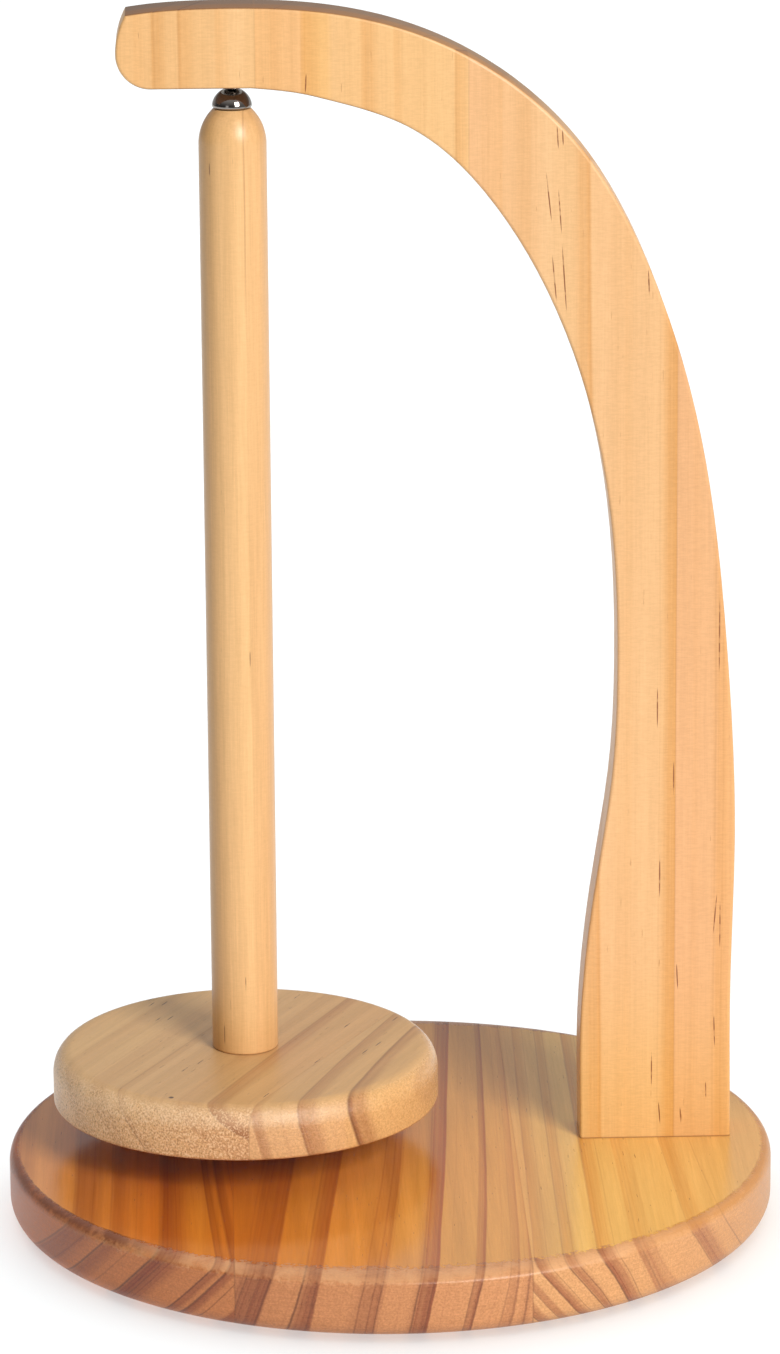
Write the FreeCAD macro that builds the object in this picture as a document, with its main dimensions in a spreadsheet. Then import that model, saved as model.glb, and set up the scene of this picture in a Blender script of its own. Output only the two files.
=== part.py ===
import FreeCAD, Part
import math
import os
import Sketcher

# Wooden yarn holder: an arched arm stands on a round base and holds, by a magnet under
# its tip, a spindle made of a round post on a round plate. The spindle hangs clear of
# the base and turns on a domed steel stud.
#
# Frame: the origin is the centre of the base on the surface that it stands on. +Z is up,
# +X runs from the hanging spindle towards the arm's foot, and -Y is the front.

SHEET_NAME = "Sizes"

# Driving dimensions in millimetres, angles in degrees.
DIMENSIONS = (
    ("pad_diameter", 18.0, "rubber pad under the base"),
    ("pad_thickness", 1.0, "how far the pads lift the base"),
    ("pad_chamfer", 0.3, "bevel round a pad's lower edge"),
    ("pad_circle_radius", 78.0, "circle that the pads stand on"),
    ("base_diameter", 200.0, "round base"),
    ("base_thickness", 16.5, "round base"),
    ("base_top_round", 3.5, "rounding of the base's top edge"),
    ("base_bottom_round", 3.5, "rounding of the base's bottom edge"),
    ("base_left_seam", 41.5, "glue line left of the base's centre"),
    ("base_right_seam", 32.6, "glue line right of the base's centre"),
    ("arm_thickness", 14.3, "front face to back face"),
    ("arm_setback", 4.6, "arm's middle plane behind the base's centre"),
    ("arm_foot_width", 39.5, "arm where it stands on the base"),
    ("arm_foot_edge", 10.6, "from the arm's foot to the rim of the base"),
    ("arm_depth", 20.3, "arm above the magnet, underside to crown"),
    ("arm_edge_round", 0.8, "eased edges of the arm"),
    ("tip_overhang", 29.0, "from the spindle's axis to the end of the arm"),
    ("tip_round", 8.8, "lower corner of the arm's end"),
    ("tip_corner_setback", 2.6, "how far the upper corner of the end leans in"),
    ("tip_corner_drop", 1.5, "upper corner of the end below the crown"),
    ("tip_seam", 5.8, "first glue line of the arm, from the spindle's axis"),
    ("crown_board_width", 53.5, "second board of the arm"),
    ("edge_board_width", 14.9, "last board of the arm, at the foot"),
    ("spindle_offset", 37.7, "spindle's axis left of the base's centre"),
    ("plate_diameter", 101.0, "round plate of the spindle"),
    ("plate_thickness", 14.0, "round plate of the spindle"),
    ("plate_top_round", 5.0, "rounding of the plate's top edge"),
    ("plate_bottom_round", 1.0, "rounding of the plate's bottom edge"),
    ("plate_gap", 11.2, "clear height between the base and the plate"),
    ("plate_seam", 23.5, "glue line from the plate's centre"),
    ("plate_grain_angle", 62.7, "grain and glue line of the plate, from +X"),
    ("post_diameter", 17.2, "round post"),
    ("post_length", 248.8, "plate to the flat at the top"),
    ("post_foot_round", 0.4, "eased lower edge of the post"),
    ("post_flat_diameter", 9.5, "flat at the top of the post"),
    ("post_shoulder_height", 9.0, "rounded shoulder at the top of the post"),
    ("stud_head_radius", 5.15, "half ball of the stud"),
    ("stud_rim_height", 0.7, "height of the stud's rim above its underside"),
    ("stud_underside_diameter", 9.3, "flat underside of the stud's head"),
    ("stud_shank_diameter", 3.2, "shank in the post"),
    ("stud_shank_length", 20.0, "shank in the post"),
    ("stud_point_length", 3.0, "point of the shank"),
    ("stud_running_gap", 0.05, "all round the shank, so that the post turns on it"),
    ("stud_seat_gap", 0.1, "between the head and the post"),
    ("magnet_diameter", 8.0, "disc magnet"),
    ("magnet_thickness", 5.0, "disc magnet"),
    ("magnet_bevel", 0.3, "bevelled edges of the magnet"),
    ("magnet_proud", 0.6, "magnet below the arm's underside"),
    ("magnet_glue_gap", 0.05, "all round the magnet"),
    ("magnet_stud_gap", 0.2, "air between the magnet and the stud"),
    ("screw_head_diameter", 8.0, "countersunk wood screw"),
    ("screw_shank_diameter", 4.0, "countersunk wood screw"),
    ("screw_length", 40.0, "countersunk wood screw"),
    ("screw_point_length", 6.0, "point of the screw"),
    ("screw_recess", 0.6, "head below the wood's surface"),
    ("screw_hole_gap", 0.1, "all round the shank in the board that it clamps"),
    ("screw_spare_depth", 1.0, "pilot hole past the screw's point"),
    ("screw_slot_width", 1.1, "arms of the cross in the head"),
    ("screw_slot_length", 4.4, "arms of the cross in the head, end to end"),
    ("screw_slot_depth", 1.5, "cross in the head"),
    ("arm_screw_inset", 7.6, "screws from the sides of the arm's foot"),
)

# Points of the arm's two long edges, as (share of the reach, share of the rise). The
# reach runs from the spindle's axis to that edge at the foot, the rise from the base.
INNER_EDGE = (
    (0.999, 0.098),
    (1.040, 0.241),
    (1.093, 0.355),
    (1.108, 0.455),
    (1.063, 0.652),
    (0.927, 0.7945),
    (0.717, 0.905),
    (0.483, 0.9666),
    (0.270, 0.989),
)
OUTER_EDGE = (
    (0.9985, 0.135),
    (1.0055, 0.275),
    (0.987, 0.441),
    (0.9276, 0.6356),
    (0.8277, 0.774),
    (0.6923, 0.877),
    (0.5515, 0.9346),
    (0.3596, 0.978),
    (0.1754, 0.9962),
)
# Where the underside's flat ends and the crown is highest, as shares of the reach, and
# how steeply the edges leave those stretches.
SPRING_SHARE = 0.054
SPRING_SLOPE = 0.08
CROWN_SHARE = -0.06
CORNER_SLOPE = 0.16

PAD_COUNT = 4
CROSS_ARMS = 4
COUNTERSINK_ANGLE = 90.0
FULL_TURN = 360.0
SAME_PLACE = 1e-4


class Size:
    """A length held as a number and as the spreadsheet expression that gives it."""

    def __init__(self, number, text):
        self.number = float(number)
        self.text = text

    def __add__(self, other):
        other = as_size(other)
        return Size(self.number + other.number, f"({self.text} + {other.text})")

    def __sub__(self, other):
        other = as_size(other)
        return Size(self.number - other.number, f"({self.text} - {other.text})")

    def __mul__(self, other):
        other = as_size(other)
        return Size(self.number * other.number, f"({self.text} * {other.text})")

    def __truediv__(self, other):
        other = as_size(other)
        return Size(self.number / other.number, f"({self.text} / {other.text})")

    def __neg__(self):
        return Size(-self.number, f"(0 - {self.text})")


def as_size(value):
    """Turns a plain number into a Size and leaves a Size as it is."""
    if isinstance(value, Size):
        return value
    return Size(value, f"{float(value):.6f}")


class Sizes:
    """The driving dimensions, and the places that follow from them."""

    def __init__(self, sheet):
        for row, (alias, number, note) in enumerate(DIMENSIONS, start=1):
            sheet.set(f"A{row}", alias)
            sheet.set(f"B{row}", str(number))
            sheet.set(f"C{row}", note)
            sheet.setAlias(f"B{row}", alias)
            setattr(self, alias, Size(number, f"{SHEET_NAME}.{alias}"))

        self.base_radius = self.base_diameter / 2
        self.base_bottom = self.pad_thickness
        self.base_top = self.base_bottom + self.base_thickness

        self.spindle_x = -self.spindle_offset
        self.plate_radius = self.plate_diameter / 2
        self.plate_bottom = self.base_top + self.plate_gap
        self.plate_top = self.plate_bottom + self.plate_thickness
        self.post_radius = self.post_diameter / 2
        self.post_top = self.plate_top + self.post_length

        self.stud_underside = self.post_top + self.stud_seat_gap
        self.stud_top = self.stud_underside + self.stud_head_radius
        self.stud_shank_radius = self.stud_shank_diameter / 2
        self.magnet_radius = self.magnet_diameter / 2
        self.magnet_face = self.stud_top + self.magnet_stud_gap
        self.arm_underside = self.magnet_face + self.magnet_proud
        self.arm_crown = self.arm_underside + self.arm_depth

        self.foot_outer = self.base_radius - self.arm_foot_edge
        self.foot_inner = self.foot_outer - self.arm_foot_width
        self.tip_end = self.spindle_x - self.tip_overhang
        self.first_seam = self.spindle_x + self.tip_seam
        self.second_seam = self.first_seam + self.crown_board_width
        self.third_seam = self.foot_outer - self.edge_board_width

        self.screw_head_radius = self.screw_head_diameter / 2
        self.screw_shank_radius = self.screw_shank_diameter / 2
        self.screw_hole_radius = self.screw_shank_radius + self.screw_hole_gap
        self.outer_screw_x = self.foot_outer - self.arm_screw_inset
        self.inner_screw_x = self.foot_inner + self.arm_screw_inset


def bind(thing, path, size):
    """Ties one property of an object to the spreadsheet."""
    thing.setExpression(path, as_size(size).text)


def place(thing, across, back, up):
    """Moves an object to a place given in sizes."""
    thing.Placement.Base = FreeCAD.Vector(*(as_size(value).number for value in (across, back, up)))
    for axis, size in zip("xyz", (across, back, up)):
        bind(thing, f"Placement.Base.{axis}", size)


def new_body(document, label):
    """Starts a body whose label is the sub-part's name."""
    body = document.addObject("PartDesign::Body", label)
    body.Label = label
    return body


def new_sketch(body, name, role, height=None):
    """Starts a sketch on one of the body's own origin planes, lifted by height."""
    sketch = body.newObject("Sketcher::SketchObject", name)
    plane = next(item for item in body.Origin.OriginFeatures if item.Role == role)
    sketch.AttachmentSupport = [(plane, "")]
    sketch.MapMode = "FlatFace"
    if height is not None:
        sketch.AttachmentOffset = FreeCAD.Placement(
            FreeCAD.Vector(0, 0, height.number), FreeCAD.Rotation()
        )
        bind(sketch, "AttachmentOffset.Base.z", height)
    return sketch


def hold(sketch, kind, places, size, name):
    """Adds a dimension to a sketch and ties it to the spreadsheet."""
    size = as_size(size)
    index = sketch.addConstraint(Sketcher.Constraint(kind, *places, size.number))
    sketch.renameConstraint(index, name)
    bind(sketch, f"Constraints.{name}", size)


def arc_between(start, end, radius):
    """The short arc between two points, with its centre on the left of the way."""
    chord = end - start
    left = FreeCAD.Vector(-chord.y, chord.x, 0).normalize()
    middle = (start + end) / 2
    to_centre = math.sqrt(max(radius**2 - (chord.Length / 2) ** 2, 0.0))
    top = middle + left * (to_centre - radius)
    return Part.Arc(start, top, end)


def draw_outline(sketch, corners, arcs=None):
    """Draws a closed outline through corners given in sizes. arcs maps the number of a
    corner to the radius of the arc that leaves it; every other side is straight."""
    arcs = arcs or {}
    first = sketch.GeometryCount
    count = len(corners)
    points = [FreeCAD.Vector(as_size(x).number, as_size(y).number, 0) for x, y in corners]
    starts = []
    for number, start in enumerate(points):
        end = points[(number + 1) % count]
        if number in arcs:
            side = arc_between(start, end, as_size(arcs[number]).number)
        else:
            side = Part.LineSegment(start, end)
        index = sketch.addGeometry(side)
        near_start = sketch.getPoint(index, 1).distanceToPoint(start)
        near_end = sketch.getPoint(index, 2).distanceToPoint(start)
        starts.append(1 if near_start < near_end else 2)
    for number, (x, y) in enumerate(corners):
        here = first + number
        following = (number + 1) % count
        joint = (here, 3 - starts[number], first + following, starts[following])
        sketch.addConstraint(Sketcher.Constraint("Coincident", *joint))
        for kind, size, axis, letter in (("DistanceX", x, -2, "x"), ("DistanceY", y, -1, "y")):
            if isinstance(size, Size):
                places = (-1, 1, here, starts[number])
                hold(sketch, kind, places, size, f"{letter}{here}")
            else:
                on_axis = (here, starts[number], axis)
                sketch.addConstraint(Sketcher.Constraint("PointOnObject", *on_axis))
        if number in arcs:
            hold(sketch, "Radius", (here,), arcs[number], f"radius{here}")


def draw_circle(sketch, across, back, radius):
    """Draws a circle whose centre and radius follow the spreadsheet."""
    across, back, radius = as_size(across), as_size(back), as_size(radius)
    centre = FreeCAD.Vector(across.number, back.number, 0)
    upright = FreeCAD.Vector(0, 0, 1)
    index = sketch.addGeometry(Part.Circle(centre, upright, radius.number))
    if across.number == 0 and back.number == 0:
        sketch.addConstraint(Sketcher.Constraint("Coincident", index, 3, -1, 1))
    else:
        hold(sketch, "DistanceX", (-1, 1, index, 3), across, f"across{index}")
        hold(sketch, "DistanceY", (-1, 1, index, 3), back, f"back{index}")
    hold(sketch, "Radius", (index,), radius, f"radius{index}")


def revolve(body, name, corners, arcs=None):
    """Turns an outline of (radius, height) corners about the body's own Z axis."""
    sketch = new_sketch(body, name + "_outline", "XZ_Plane")
    draw_outline(sketch, corners, arcs)
    turned = body.newObject("PartDesign::Revolution", name)
    turned.Profile = sketch
    turned.ReferenceAxis = (sketch, ["V_Axis"])
    turned.Angle = FULL_TURN
    body.Document.recompute()
    return turned


def cut(body, name, sketch, depth, upward):
    """Pockets a sketch into the body and makes sure that material came off. A depth of
    None cuts right through, both ways."""
    before = body.Shape.Volume
    pocket = body.newObject("PartDesign::Pocket", name)
    pocket.Profile = sketch
    if depth is None:
        pocket.SideType = "Symmetric"
        pocket.Type = "ThroughAll"
    else:
        pocket.Reversed = upward
        bind(pocket, "Length", depth)
    body.Document.recompute()
    if body.Shape.Volume >= before:
        raise RuntimeError(f"{name} cut nothing from {body.Label}")


def drill(body, name, centres, radius, height, depth, upward):
    """Drills round holes of one depth from a level of the body."""
    sketch = new_sketch(body, name + "_circles", "XY_Plane", as_size(height))
    for across, back in centres:
        draw_circle(sketch, across, back, radius)
    cut(body, name, sketch, depth, upward)


def countersink(body, name, centres, sizes):
    """Sinks screw holes from the underside of the body right through it."""
    before = body.Shape.Volume
    sketch = new_sketch(body, name + "_circles", "XY_Plane")
    for across, back in centres:
        draw_circle(sketch, across, back, sizes.screw_hole_radius)
    hole = body.newObject("PartDesign::Hole", name)
    hole.Profile = sketch
    body.Document.recompute()
    hole.Reversed = True
    hole.DepthType = "ThroughAll"
    hole.HoleCutType = "Countersink"
    hole.HoleCutCustomValues = True
    hole.HoleCutCountersinkAngle = COUNTERSINK_ANGLE
    bind(hole, "Diameter", sizes.screw_hole_radius * 2)
    bind(hole, "HoleCutDiameter", (sizes.screw_head_radius + sizes.screw_recess) * 2)
    body.Document.recompute()
    if body.Shape.Volume >= before:
        raise RuntimeError(f"{name} cut nothing from {body.Label}")


def keep_between(body, name, role, low, high, reach):
    """Saws a board out of the glued panel: keeps what lies between two glue lines. A
    limit of None is the panel's own edge."""
    sketch = new_sketch(body, name + "_waste", role)
    if low is not None:
        draw_outline(sketch, ((-reach, -reach), (low, -reach), (low, reach), (-reach, reach)))
    if high is not None:
        draw_outline(sketch, ((high, -reach), (reach, -reach), (reach, reach), (high, reach)))
    cut(body, name, sketch, None, False)


def disc_blank(body, radius, thickness, bottom_round, top_round):
    """A round panel with rounded edges, from its underside up."""
    corners = (
        (0, 0),
        (radius - bottom_round, 0),
        (radius, bottom_round),
        (radius, thickness - top_round),
        (radius - top_round, thickness),
        (0, thickness),
    )
    revolve(body, "panel", corners, {1: bottom_round, 3: top_round})


def make_foot_pads(document, sizes):
    """Four stick-on rubber pads under the base, in one node."""
    pads = []
    for number in range(PAD_COUNT):
        angle = math.radians(FULL_TURN * (number + 0.5) / PAD_COUNT)
        pad = new_body(document, f"foot_pad_{number + 1}")
        radius = sizes.pad_diameter / 2
        corners = (
            (0, 0),
            (radius - sizes.pad_chamfer, 0),
            (radius, sizes.pad_chamfer),
            (radius, sizes.pad_thickness),
            (0, sizes.pad_thickness),
        )
        revolve(pad, "pad", corners)
        across = sizes.pad_circle_radius * math.cos(angle)
        back = sizes.pad_circle_radius * math.sin(angle)
        place(pad, across, back, 0)
        pads.append(pad)
    return gather(document, "foot_pads", pads)


def gather(document, label, bodies):
    """Groups like pieces into one node of separate solids."""
    group = document.addObject("Part::Compound", label)
    group.Label = label
    group.Links = bodies
    return group


def make_base_boards(document, sizes):
    """The three boards, glued edge to edge, of the round base."""
    limits = {
        "base_board_left": (None, -sizes.base_left_seam),
        "base_board_middle": (-sizes.base_left_seam, sizes.base_right_seam),
        "base_board_right": (sizes.base_right_seam, None),
    }
    boards = []
    for label, (low, high) in limits.items():
        body = new_body(document, label)
        disc_blank(
            body,
            sizes.base_radius,
            sizes.base_thickness,
            sizes.base_bottom_round,
            sizes.base_top_round,
        )
        keep_between(body, "saw", "XY_Plane", low, high, sizes.base_diameter)
        place(body, 0, 0, sizes.base_bottom)
        boards.append(body)
    centres = (
        (sizes.inner_screw_x, sizes.arm_setback),
        (sizes.outer_screw_x, sizes.arm_setback),
    )
    countersink(boards[-1], "screw_holes", centres, sizes)
    return boards


def edge_curve(points, start_way, end_way):
    """A smooth edge through points, with its direction given at both ends."""
    curve = Part.BSplineCurve()
    curve.interpolate(Points=points, InitialTangent=start_way, FinalTangent=end_way)
    return curve


def shared_points(shares, sizes, foot, top):
    """Places an edge's points between the base and top, out from the spindle's axis."""
    axis = sizes.spindle_x.number
    floor = sizes.base_top.number
    reach = foot - axis
    rise = top - floor
    return [FreeCAD.Vector(axis + across * reach, floor + up * rise, 0) for across, up in shares]


def arm_outline(sizes):
    """Front view of the arm: foot, inner edge, flat underside, rounded end, outer edge."""
    upward = FreeCAD.Vector(0, 1, 0)
    spring_way = FreeCAD.Vector(-1, SPRING_SLOPE, 0)
    crown = sizes.arm_crown.number
    underside = sizes.arm_underside.number
    end = sizes.tip_end.number
    round_radius = sizes.tip_round.number
    inner_foot = FreeCAD.Vector(sizes.foot_inner.number, sizes.base_top.number, 0)
    outer_foot = FreeCAD.Vector(sizes.foot_outer.number, sizes.base_top.number, 0)

    inner = shared_points(INNER_EDGE, sizes, inner_foot.x, underside)
    spring = shared_points(((SPRING_SHARE, 1.0),), sizes, inner_foot.x, underside)[0]
    inner_curve = edge_curve([inner_foot] + inner + [spring], upward, spring_way)

    outer = shared_points(OUTER_EDGE, sizes, outer_foot.x, crown)
    top = shared_points(((CROWN_SHARE, 1.0),), sizes, outer_foot.x, crown)[0]
    corner = FreeCAD.Vector(
        end + sizes.tip_corner_setback.number, crown - sizes.tip_corner_drop.number, 0
    )
    down_slope = FreeCAD.Vector(-1, -CORNER_SLOPE, 0)
    outer_curve = edge_curve([outer_foot] + outer + [top, corner], upward, down_slope)

    round_start = FreeCAD.Vector(end + round_radius, underside, 0)
    round_end = FreeCAD.Vector(end, underside + round_radius, 0)
    lean_height = corner.y - round_end.y
    lean_radius = (lean_height**2 + (corner.x - end) ** 2) / (2 * (corner.x - end))
    return (
        Part.LineSegment(outer_foot, inner_foot),
        inner_curve,
        Part.LineSegment(spring, round_start),
        arc_between(round_end, round_start, round_radius),
        arc_between(corner, round_end, lean_radius),
        outer_curve,
    )


def face_edges(shape, half_thickness, foot_height):
    """Names of the edges round the two flat faces, apart from those on the base."""
    names = []
    for number, edge in enumerate(shape.Edges, start=1):
        box = edge.BoundBox
        flat = box.YLength < SAME_PLACE and abs(abs(box.Center.y) - half_thickness) < SAME_PLACE
        on_base = box.ZMax - foot_height < SAME_PLACE
        if flat and not on_base:
            names.append(f"Edge{number}")
    return names


def arm_blank(body, sizes):
    """The whole arm, sawn from the panel and eased along both faces."""
    sketch = new_sketch(body, "arm_outline", "XZ_Plane")
    sketch.addGeometry(list(arm_outline(sizes)), False)
    blank = body.newObject("PartDesign::Pad", "arm_blank")
    blank.Profile = sketch
    blank.SideType = "Symmetric"
    bind(blank, "Length", sizes.arm_thickness)
    body.Document.recompute()
    eased = body.newObject("PartDesign::Fillet", "eased_edges")
    half_thickness = sizes.arm_thickness.number / 2
    eased.Base = (blank, face_edges(blank.Shape, half_thickness, sizes.base_top.number))
    bind(eased, "Radius", sizes.arm_edge_round)
    body.Document.recompute()


def make_arm_boards(document, sizes):
    """The four upright boards, glued edge to edge, that the arm is sawn from."""
    limits = {
        "arm_board_tip": (None, sizes.first_seam),
        "arm_board_crown": (sizes.first_seam, sizes.second_seam),
        "arm_board_column": (sizes.second_seam, sizes.third_seam),
        "arm_board_edge": (sizes.third_seam, None),
    }
    boards = {}
    for label, (low, high) in limits.items():
        body = new_body(document, label)
        arm_blank(body, sizes)
        keep_between(body, "saw", "XZ_Plane", low, high, sizes.arm_crown * 2)
        place(body, 0, sizes.arm_setback, 0)
        boards[label] = body

    drill(
        boards["arm_board_tip"],
        "magnet_seat",
        ((sizes.spindle_x, 0),),
        sizes.magnet_radius + sizes.magnet_glue_gap,
        sizes.arm_underside,
        sizes.magnet_thickness - sizes.magnet_proud,
        True,
    )
    pilot_depth = (
        sizes.screw_length + sizes.screw_recess + sizes.screw_spare_depth - sizes.base_thickness
    )
    pilots = {
        "arm_board_column": sizes.inner_screw_x,
        "arm_board_edge": sizes.outer_screw_x,
    }
    for label, across in pilots.items():
        drill(
            boards[label],
            "pilot_hole",
            ((across, 0),),
            sizes.screw_shank_radius,
            sizes.base_top,
            pilot_depth,
            True,
        )
    return list(boards.values())


def make_magnet(document, sizes):
    """The disc magnet glued into the underside of the arm."""
    body = new_body(document, "magnet")
    bevel = sizes.magnet_bevel
    radius = sizes.magnet_radius
    corners = (
        (0, 0),
        (radius - bevel, 0),
        (radius, bevel),
        (radius, sizes.magnet_thickness - bevel),
        (radius - bevel, sizes.magnet_thickness),
        (0, sizes.magnet_thickness),
    )
    revolve(body, "disc", corners)
    place(body, sizes.spindle_x, sizes.arm_setback, sizes.magnet_face)
    return body


def make_screw(document, label, sizes, across, back, height):
    """A countersunk wood screw with a cross in its head, driven upwards."""
    body = new_body(document, label)
    head_height = sizes.screw_head_radius - sizes.screw_shank_radius
    corners = (
        (0, 0),
        (sizes.screw_head_radius, 0),
        (sizes.screw_shank_radius, head_height),
        (sizes.screw_shank_radius, sizes.screw_length - sizes.screw_point_length),
        (0, sizes.screw_length),
    )
    revolve(body, "screw", corners)
    narrow = sizes.screw_slot_width / 2
    wide = sizes.screw_slot_length / 2
    quarter = ((wide, -narrow), (wide, narrow), (narrow, narrow))
    cross = []
    for _ in range(CROSS_ARMS):
        cross.extend(quarter)
        quarter = tuple((-y, x) for x, y in quarter)
    sketch = new_sketch(body, "cross_outline", "XY_Plane")
    draw_outline(sketch, cross)
    cut(body, "cross", sketch, sizes.screw_slot_depth, True)
    place(body, across, back, height)
    return body


def make_arm_screws(document, sizes):
    """Two screws through the base into the arm's foot, in one node."""
    height = sizes.base_bottom + sizes.screw_recess
    screws = [
        make_screw(document, "inner_arm_screw", sizes, sizes.inner_screw_x, sizes.arm_setback, height),
        make_screw(document, "outer_arm_screw", sizes, sizes.outer_screw_x, sizes.arm_setback, height),
    ]
    return gather(document, "arm_screws", screws)


def make_plate_boards(document, sizes):
    """The two boards, glued edge to edge, of the spindle's plate. Their grain and their
    glue line run along each body's own X axis."""
    limits = {
        "plate_board_wide": (-sizes.plate_seam, None),
        "plate_board_narrow": (None, -sizes.plate_seam),
    }
    boards = []
    for label, (low, high) in limits.items():
        body = new_body(document, label)
        disc_blank(
            body,
            sizes.plate_radius,
            sizes.plate_thickness,
            sizes.plate_bottom_round,
            sizes.plate_top_round,
        )
        saw = new_sketch(body, "saw_waste", "XY_Plane")
        reach = sizes.plate_diameter
        if low is not None:
            draw_outline(saw, ((-reach, -reach), (reach, -reach), (reach, low), (-reach, low)))
        if high is not None:
            draw_outline(saw, ((-reach, high), (reach, high), (reach, reach), (-reach, reach)))
        cut(body, "saw", saw, None, False)
        turn = FreeCAD.Rotation(FreeCAD.Vector(0, 0, 1), sizes.plate_grain_angle.number)
        body.Placement.Rotation = turn
        place(body, sizes.spindle_x, sizes.arm_setback, sizes.plate_bottom)
        boards.append(body)
    countersink(boards[0], "screw_hole", ((0, 0),), sizes)
    return boards


def make_post(document, sizes):
    """The round post: a cylinder with a rounded shoulder and a small flat on top."""
    body = new_body(document, "post")
    flat_radius = sizes.post_flat_diameter / 2
    shoulder_start = sizes.post_length - sizes.post_shoulder_height
    drawn_in = sizes.post_radius - flat_radius
    shoulder = sizes.post_shoulder_height
    shoulder_radius = (shoulder * shoulder + drawn_in * drawn_in) / (drawn_in * 2)
    corners = (
        (0, 0),
        (sizes.post_radius - sizes.post_foot_round, 0),
        (sizes.post_radius, sizes.post_foot_round),
        (sizes.post_radius, shoulder_start),
        (flat_radius, sizes.post_length),
        (0, sizes.post_length),
    )
    revolve(body, "turned_post", corners, {1: sizes.post_foot_round, 3: shoulder_radius})
    pilot_depth = (
        sizes.screw_length + sizes.screw_recess + sizes.screw_spare_depth - sizes.plate_thickness
    )
    drill(body, "pilot_hole", ((0, 0),), sizes.screw_shank_radius, 0, pilot_depth, True)
    bore_radius = sizes.stud_shank_radius + sizes.stud_running_gap
    bore_depth = sizes.stud_shank_length + sizes.screw_spare_depth
    drill(body, "stud_bore", ((0, 0),), bore_radius, sizes.post_length, bore_depth, False)
    place(body, sizes.spindle_x, sizes.arm_setback, sizes.plate_top)
    return body


def make_plate_screw(document, sizes):
    """The screw through the plate into the post."""
    height = sizes.plate_bottom + sizes.screw_recess
    return make_screw(
        document, "plate_screw", sizes, sizes.spindle_x, sizes.arm_setback, height
    )


def make_pivot_stud(document, sizes):
    """The domed steel stud: a half ball that meets the magnet, drawn in below its rim,
    on a pointed shank that the post turns on."""
    body = new_body(document, "pivot_stud")
    ball = sizes.stud_head_radius
    rim = sizes.stud_rim_height
    rim_number = math.sqrt(ball.number**2 - rim.number**2)
    rim_radius = Size(rim_number, f"sqrt({(ball * ball - rim * rim).text})")
    underside_radius = sizes.stud_underside_diameter / 2
    drawn_in = rim_radius - underside_radius
    under_round = (rim * rim + drawn_in * drawn_in) / (drawn_in * 2)
    shank = sizes.stud_shank_radius
    point_start = sizes.stud_point_length - sizes.stud_shank_length
    corners = (
        (0, -sizes.stud_shank_length),
        (shank, point_start),
        (shank, 0),
        (underside_radius, 0),
        (rim_radius, rim),
        (0, ball),
    )
    revolve(body, "stud", corners, {3: under_round, 4: ball})
    place(body, sizes.spindle_x, sizes.arm_setback, sizes.stud_underside)
    return body


def check_document(document, nodes):
    """Stops if a feature failed, or if a node has no sound shape."""
    for thing in document.Objects:
        if "Invalid" in thing.State or "Error" in thing.State:
            raise RuntimeError(f"{thing.Name} failed: {thing.State}")
    for node in nodes:
        if node.Shape.isNull() or not node.Shape.isValid():
            raise RuntimeError(f"{node.Label} has no valid shape")


def main():
    document = FreeCAD.newDocument("yarn_holder")
    sheet = document.addObject("Spreadsheet::Sheet", SHEET_NAME)
    sizes = Sizes(sheet)
    document.recompute()

    nodes = [make_foot_pads(document, sizes)]
    nodes += make_base_boards(document, sizes)
    nodes += make_arm_boards(document, sizes)
    nodes.append(make_magnet(document, sizes))
    nodes.append(make_arm_screws(document, sizes))
    nodes += make_plate_boards(document, sizes)
    nodes.append(make_plate_screw(document, sizes))
    nodes.append(make_post(document, sizes))
    nodes.append(make_pivot_stud(document, sizes))

    document.recompute()
    check_document(document, nodes)
    os.makedirs("parts", exist_ok=True)
    for node in nodes:
        node.Shape.exportStep(os.path.join("parts", node.Label + ".step"))
        print(f"{node.Label}: {len(node.Shape.Solids)} solids, {node.Shape.Volume:.1f} mm3")


main()
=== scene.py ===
import math
from collections import namedtuple
from dataclasses import dataclass

import bmesh
import bpy
from bpy.props import FloatProperty, FloatVectorProperty, PointerProperty
from mathutils import Matrix, Vector, noise


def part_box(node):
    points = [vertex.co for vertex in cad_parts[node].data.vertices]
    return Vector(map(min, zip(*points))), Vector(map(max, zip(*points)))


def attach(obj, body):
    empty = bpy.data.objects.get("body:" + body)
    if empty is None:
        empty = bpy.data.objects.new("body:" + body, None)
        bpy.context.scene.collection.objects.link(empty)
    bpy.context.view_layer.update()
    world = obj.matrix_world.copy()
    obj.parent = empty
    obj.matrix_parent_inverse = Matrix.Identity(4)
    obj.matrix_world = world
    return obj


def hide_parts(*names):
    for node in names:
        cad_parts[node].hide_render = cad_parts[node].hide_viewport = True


bl_info = {
    "name": "Yarn Holder Looks",
    "version": (1, 0, 0),
    "blender": (4, 5, 0),
    "location": "3D View > Sidebar > Yarn Holder",
    "description": "Finishes the boards, post and steel of a hanging yarn holder and lights them",
    "category": "Object",
}

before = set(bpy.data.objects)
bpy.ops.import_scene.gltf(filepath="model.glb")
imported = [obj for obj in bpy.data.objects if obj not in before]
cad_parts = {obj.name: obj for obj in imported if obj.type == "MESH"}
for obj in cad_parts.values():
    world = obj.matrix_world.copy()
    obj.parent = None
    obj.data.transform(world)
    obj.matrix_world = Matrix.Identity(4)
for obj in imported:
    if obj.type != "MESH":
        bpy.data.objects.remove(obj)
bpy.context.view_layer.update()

MM = 0.001
TO_MM = (1000.0, 1000.0, 1000.0)
ACROSS_X = Vector((1.0, 0.0, 0.0))


def in_mm(value):
    """Metres as plain millimetres."""
    return value / MM


def joined_box(*nodes):
    """Lowest and highest corner of several nodes together, in metres."""
    lows, highs = zip(*(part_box(node) for node in nodes))
    low = Vector(min(corner[axis] for corner in lows) for axis in range(3))
    high = Vector(max(corner[axis] for corner in highs) for axis in range(3))
    return low, high


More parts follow.
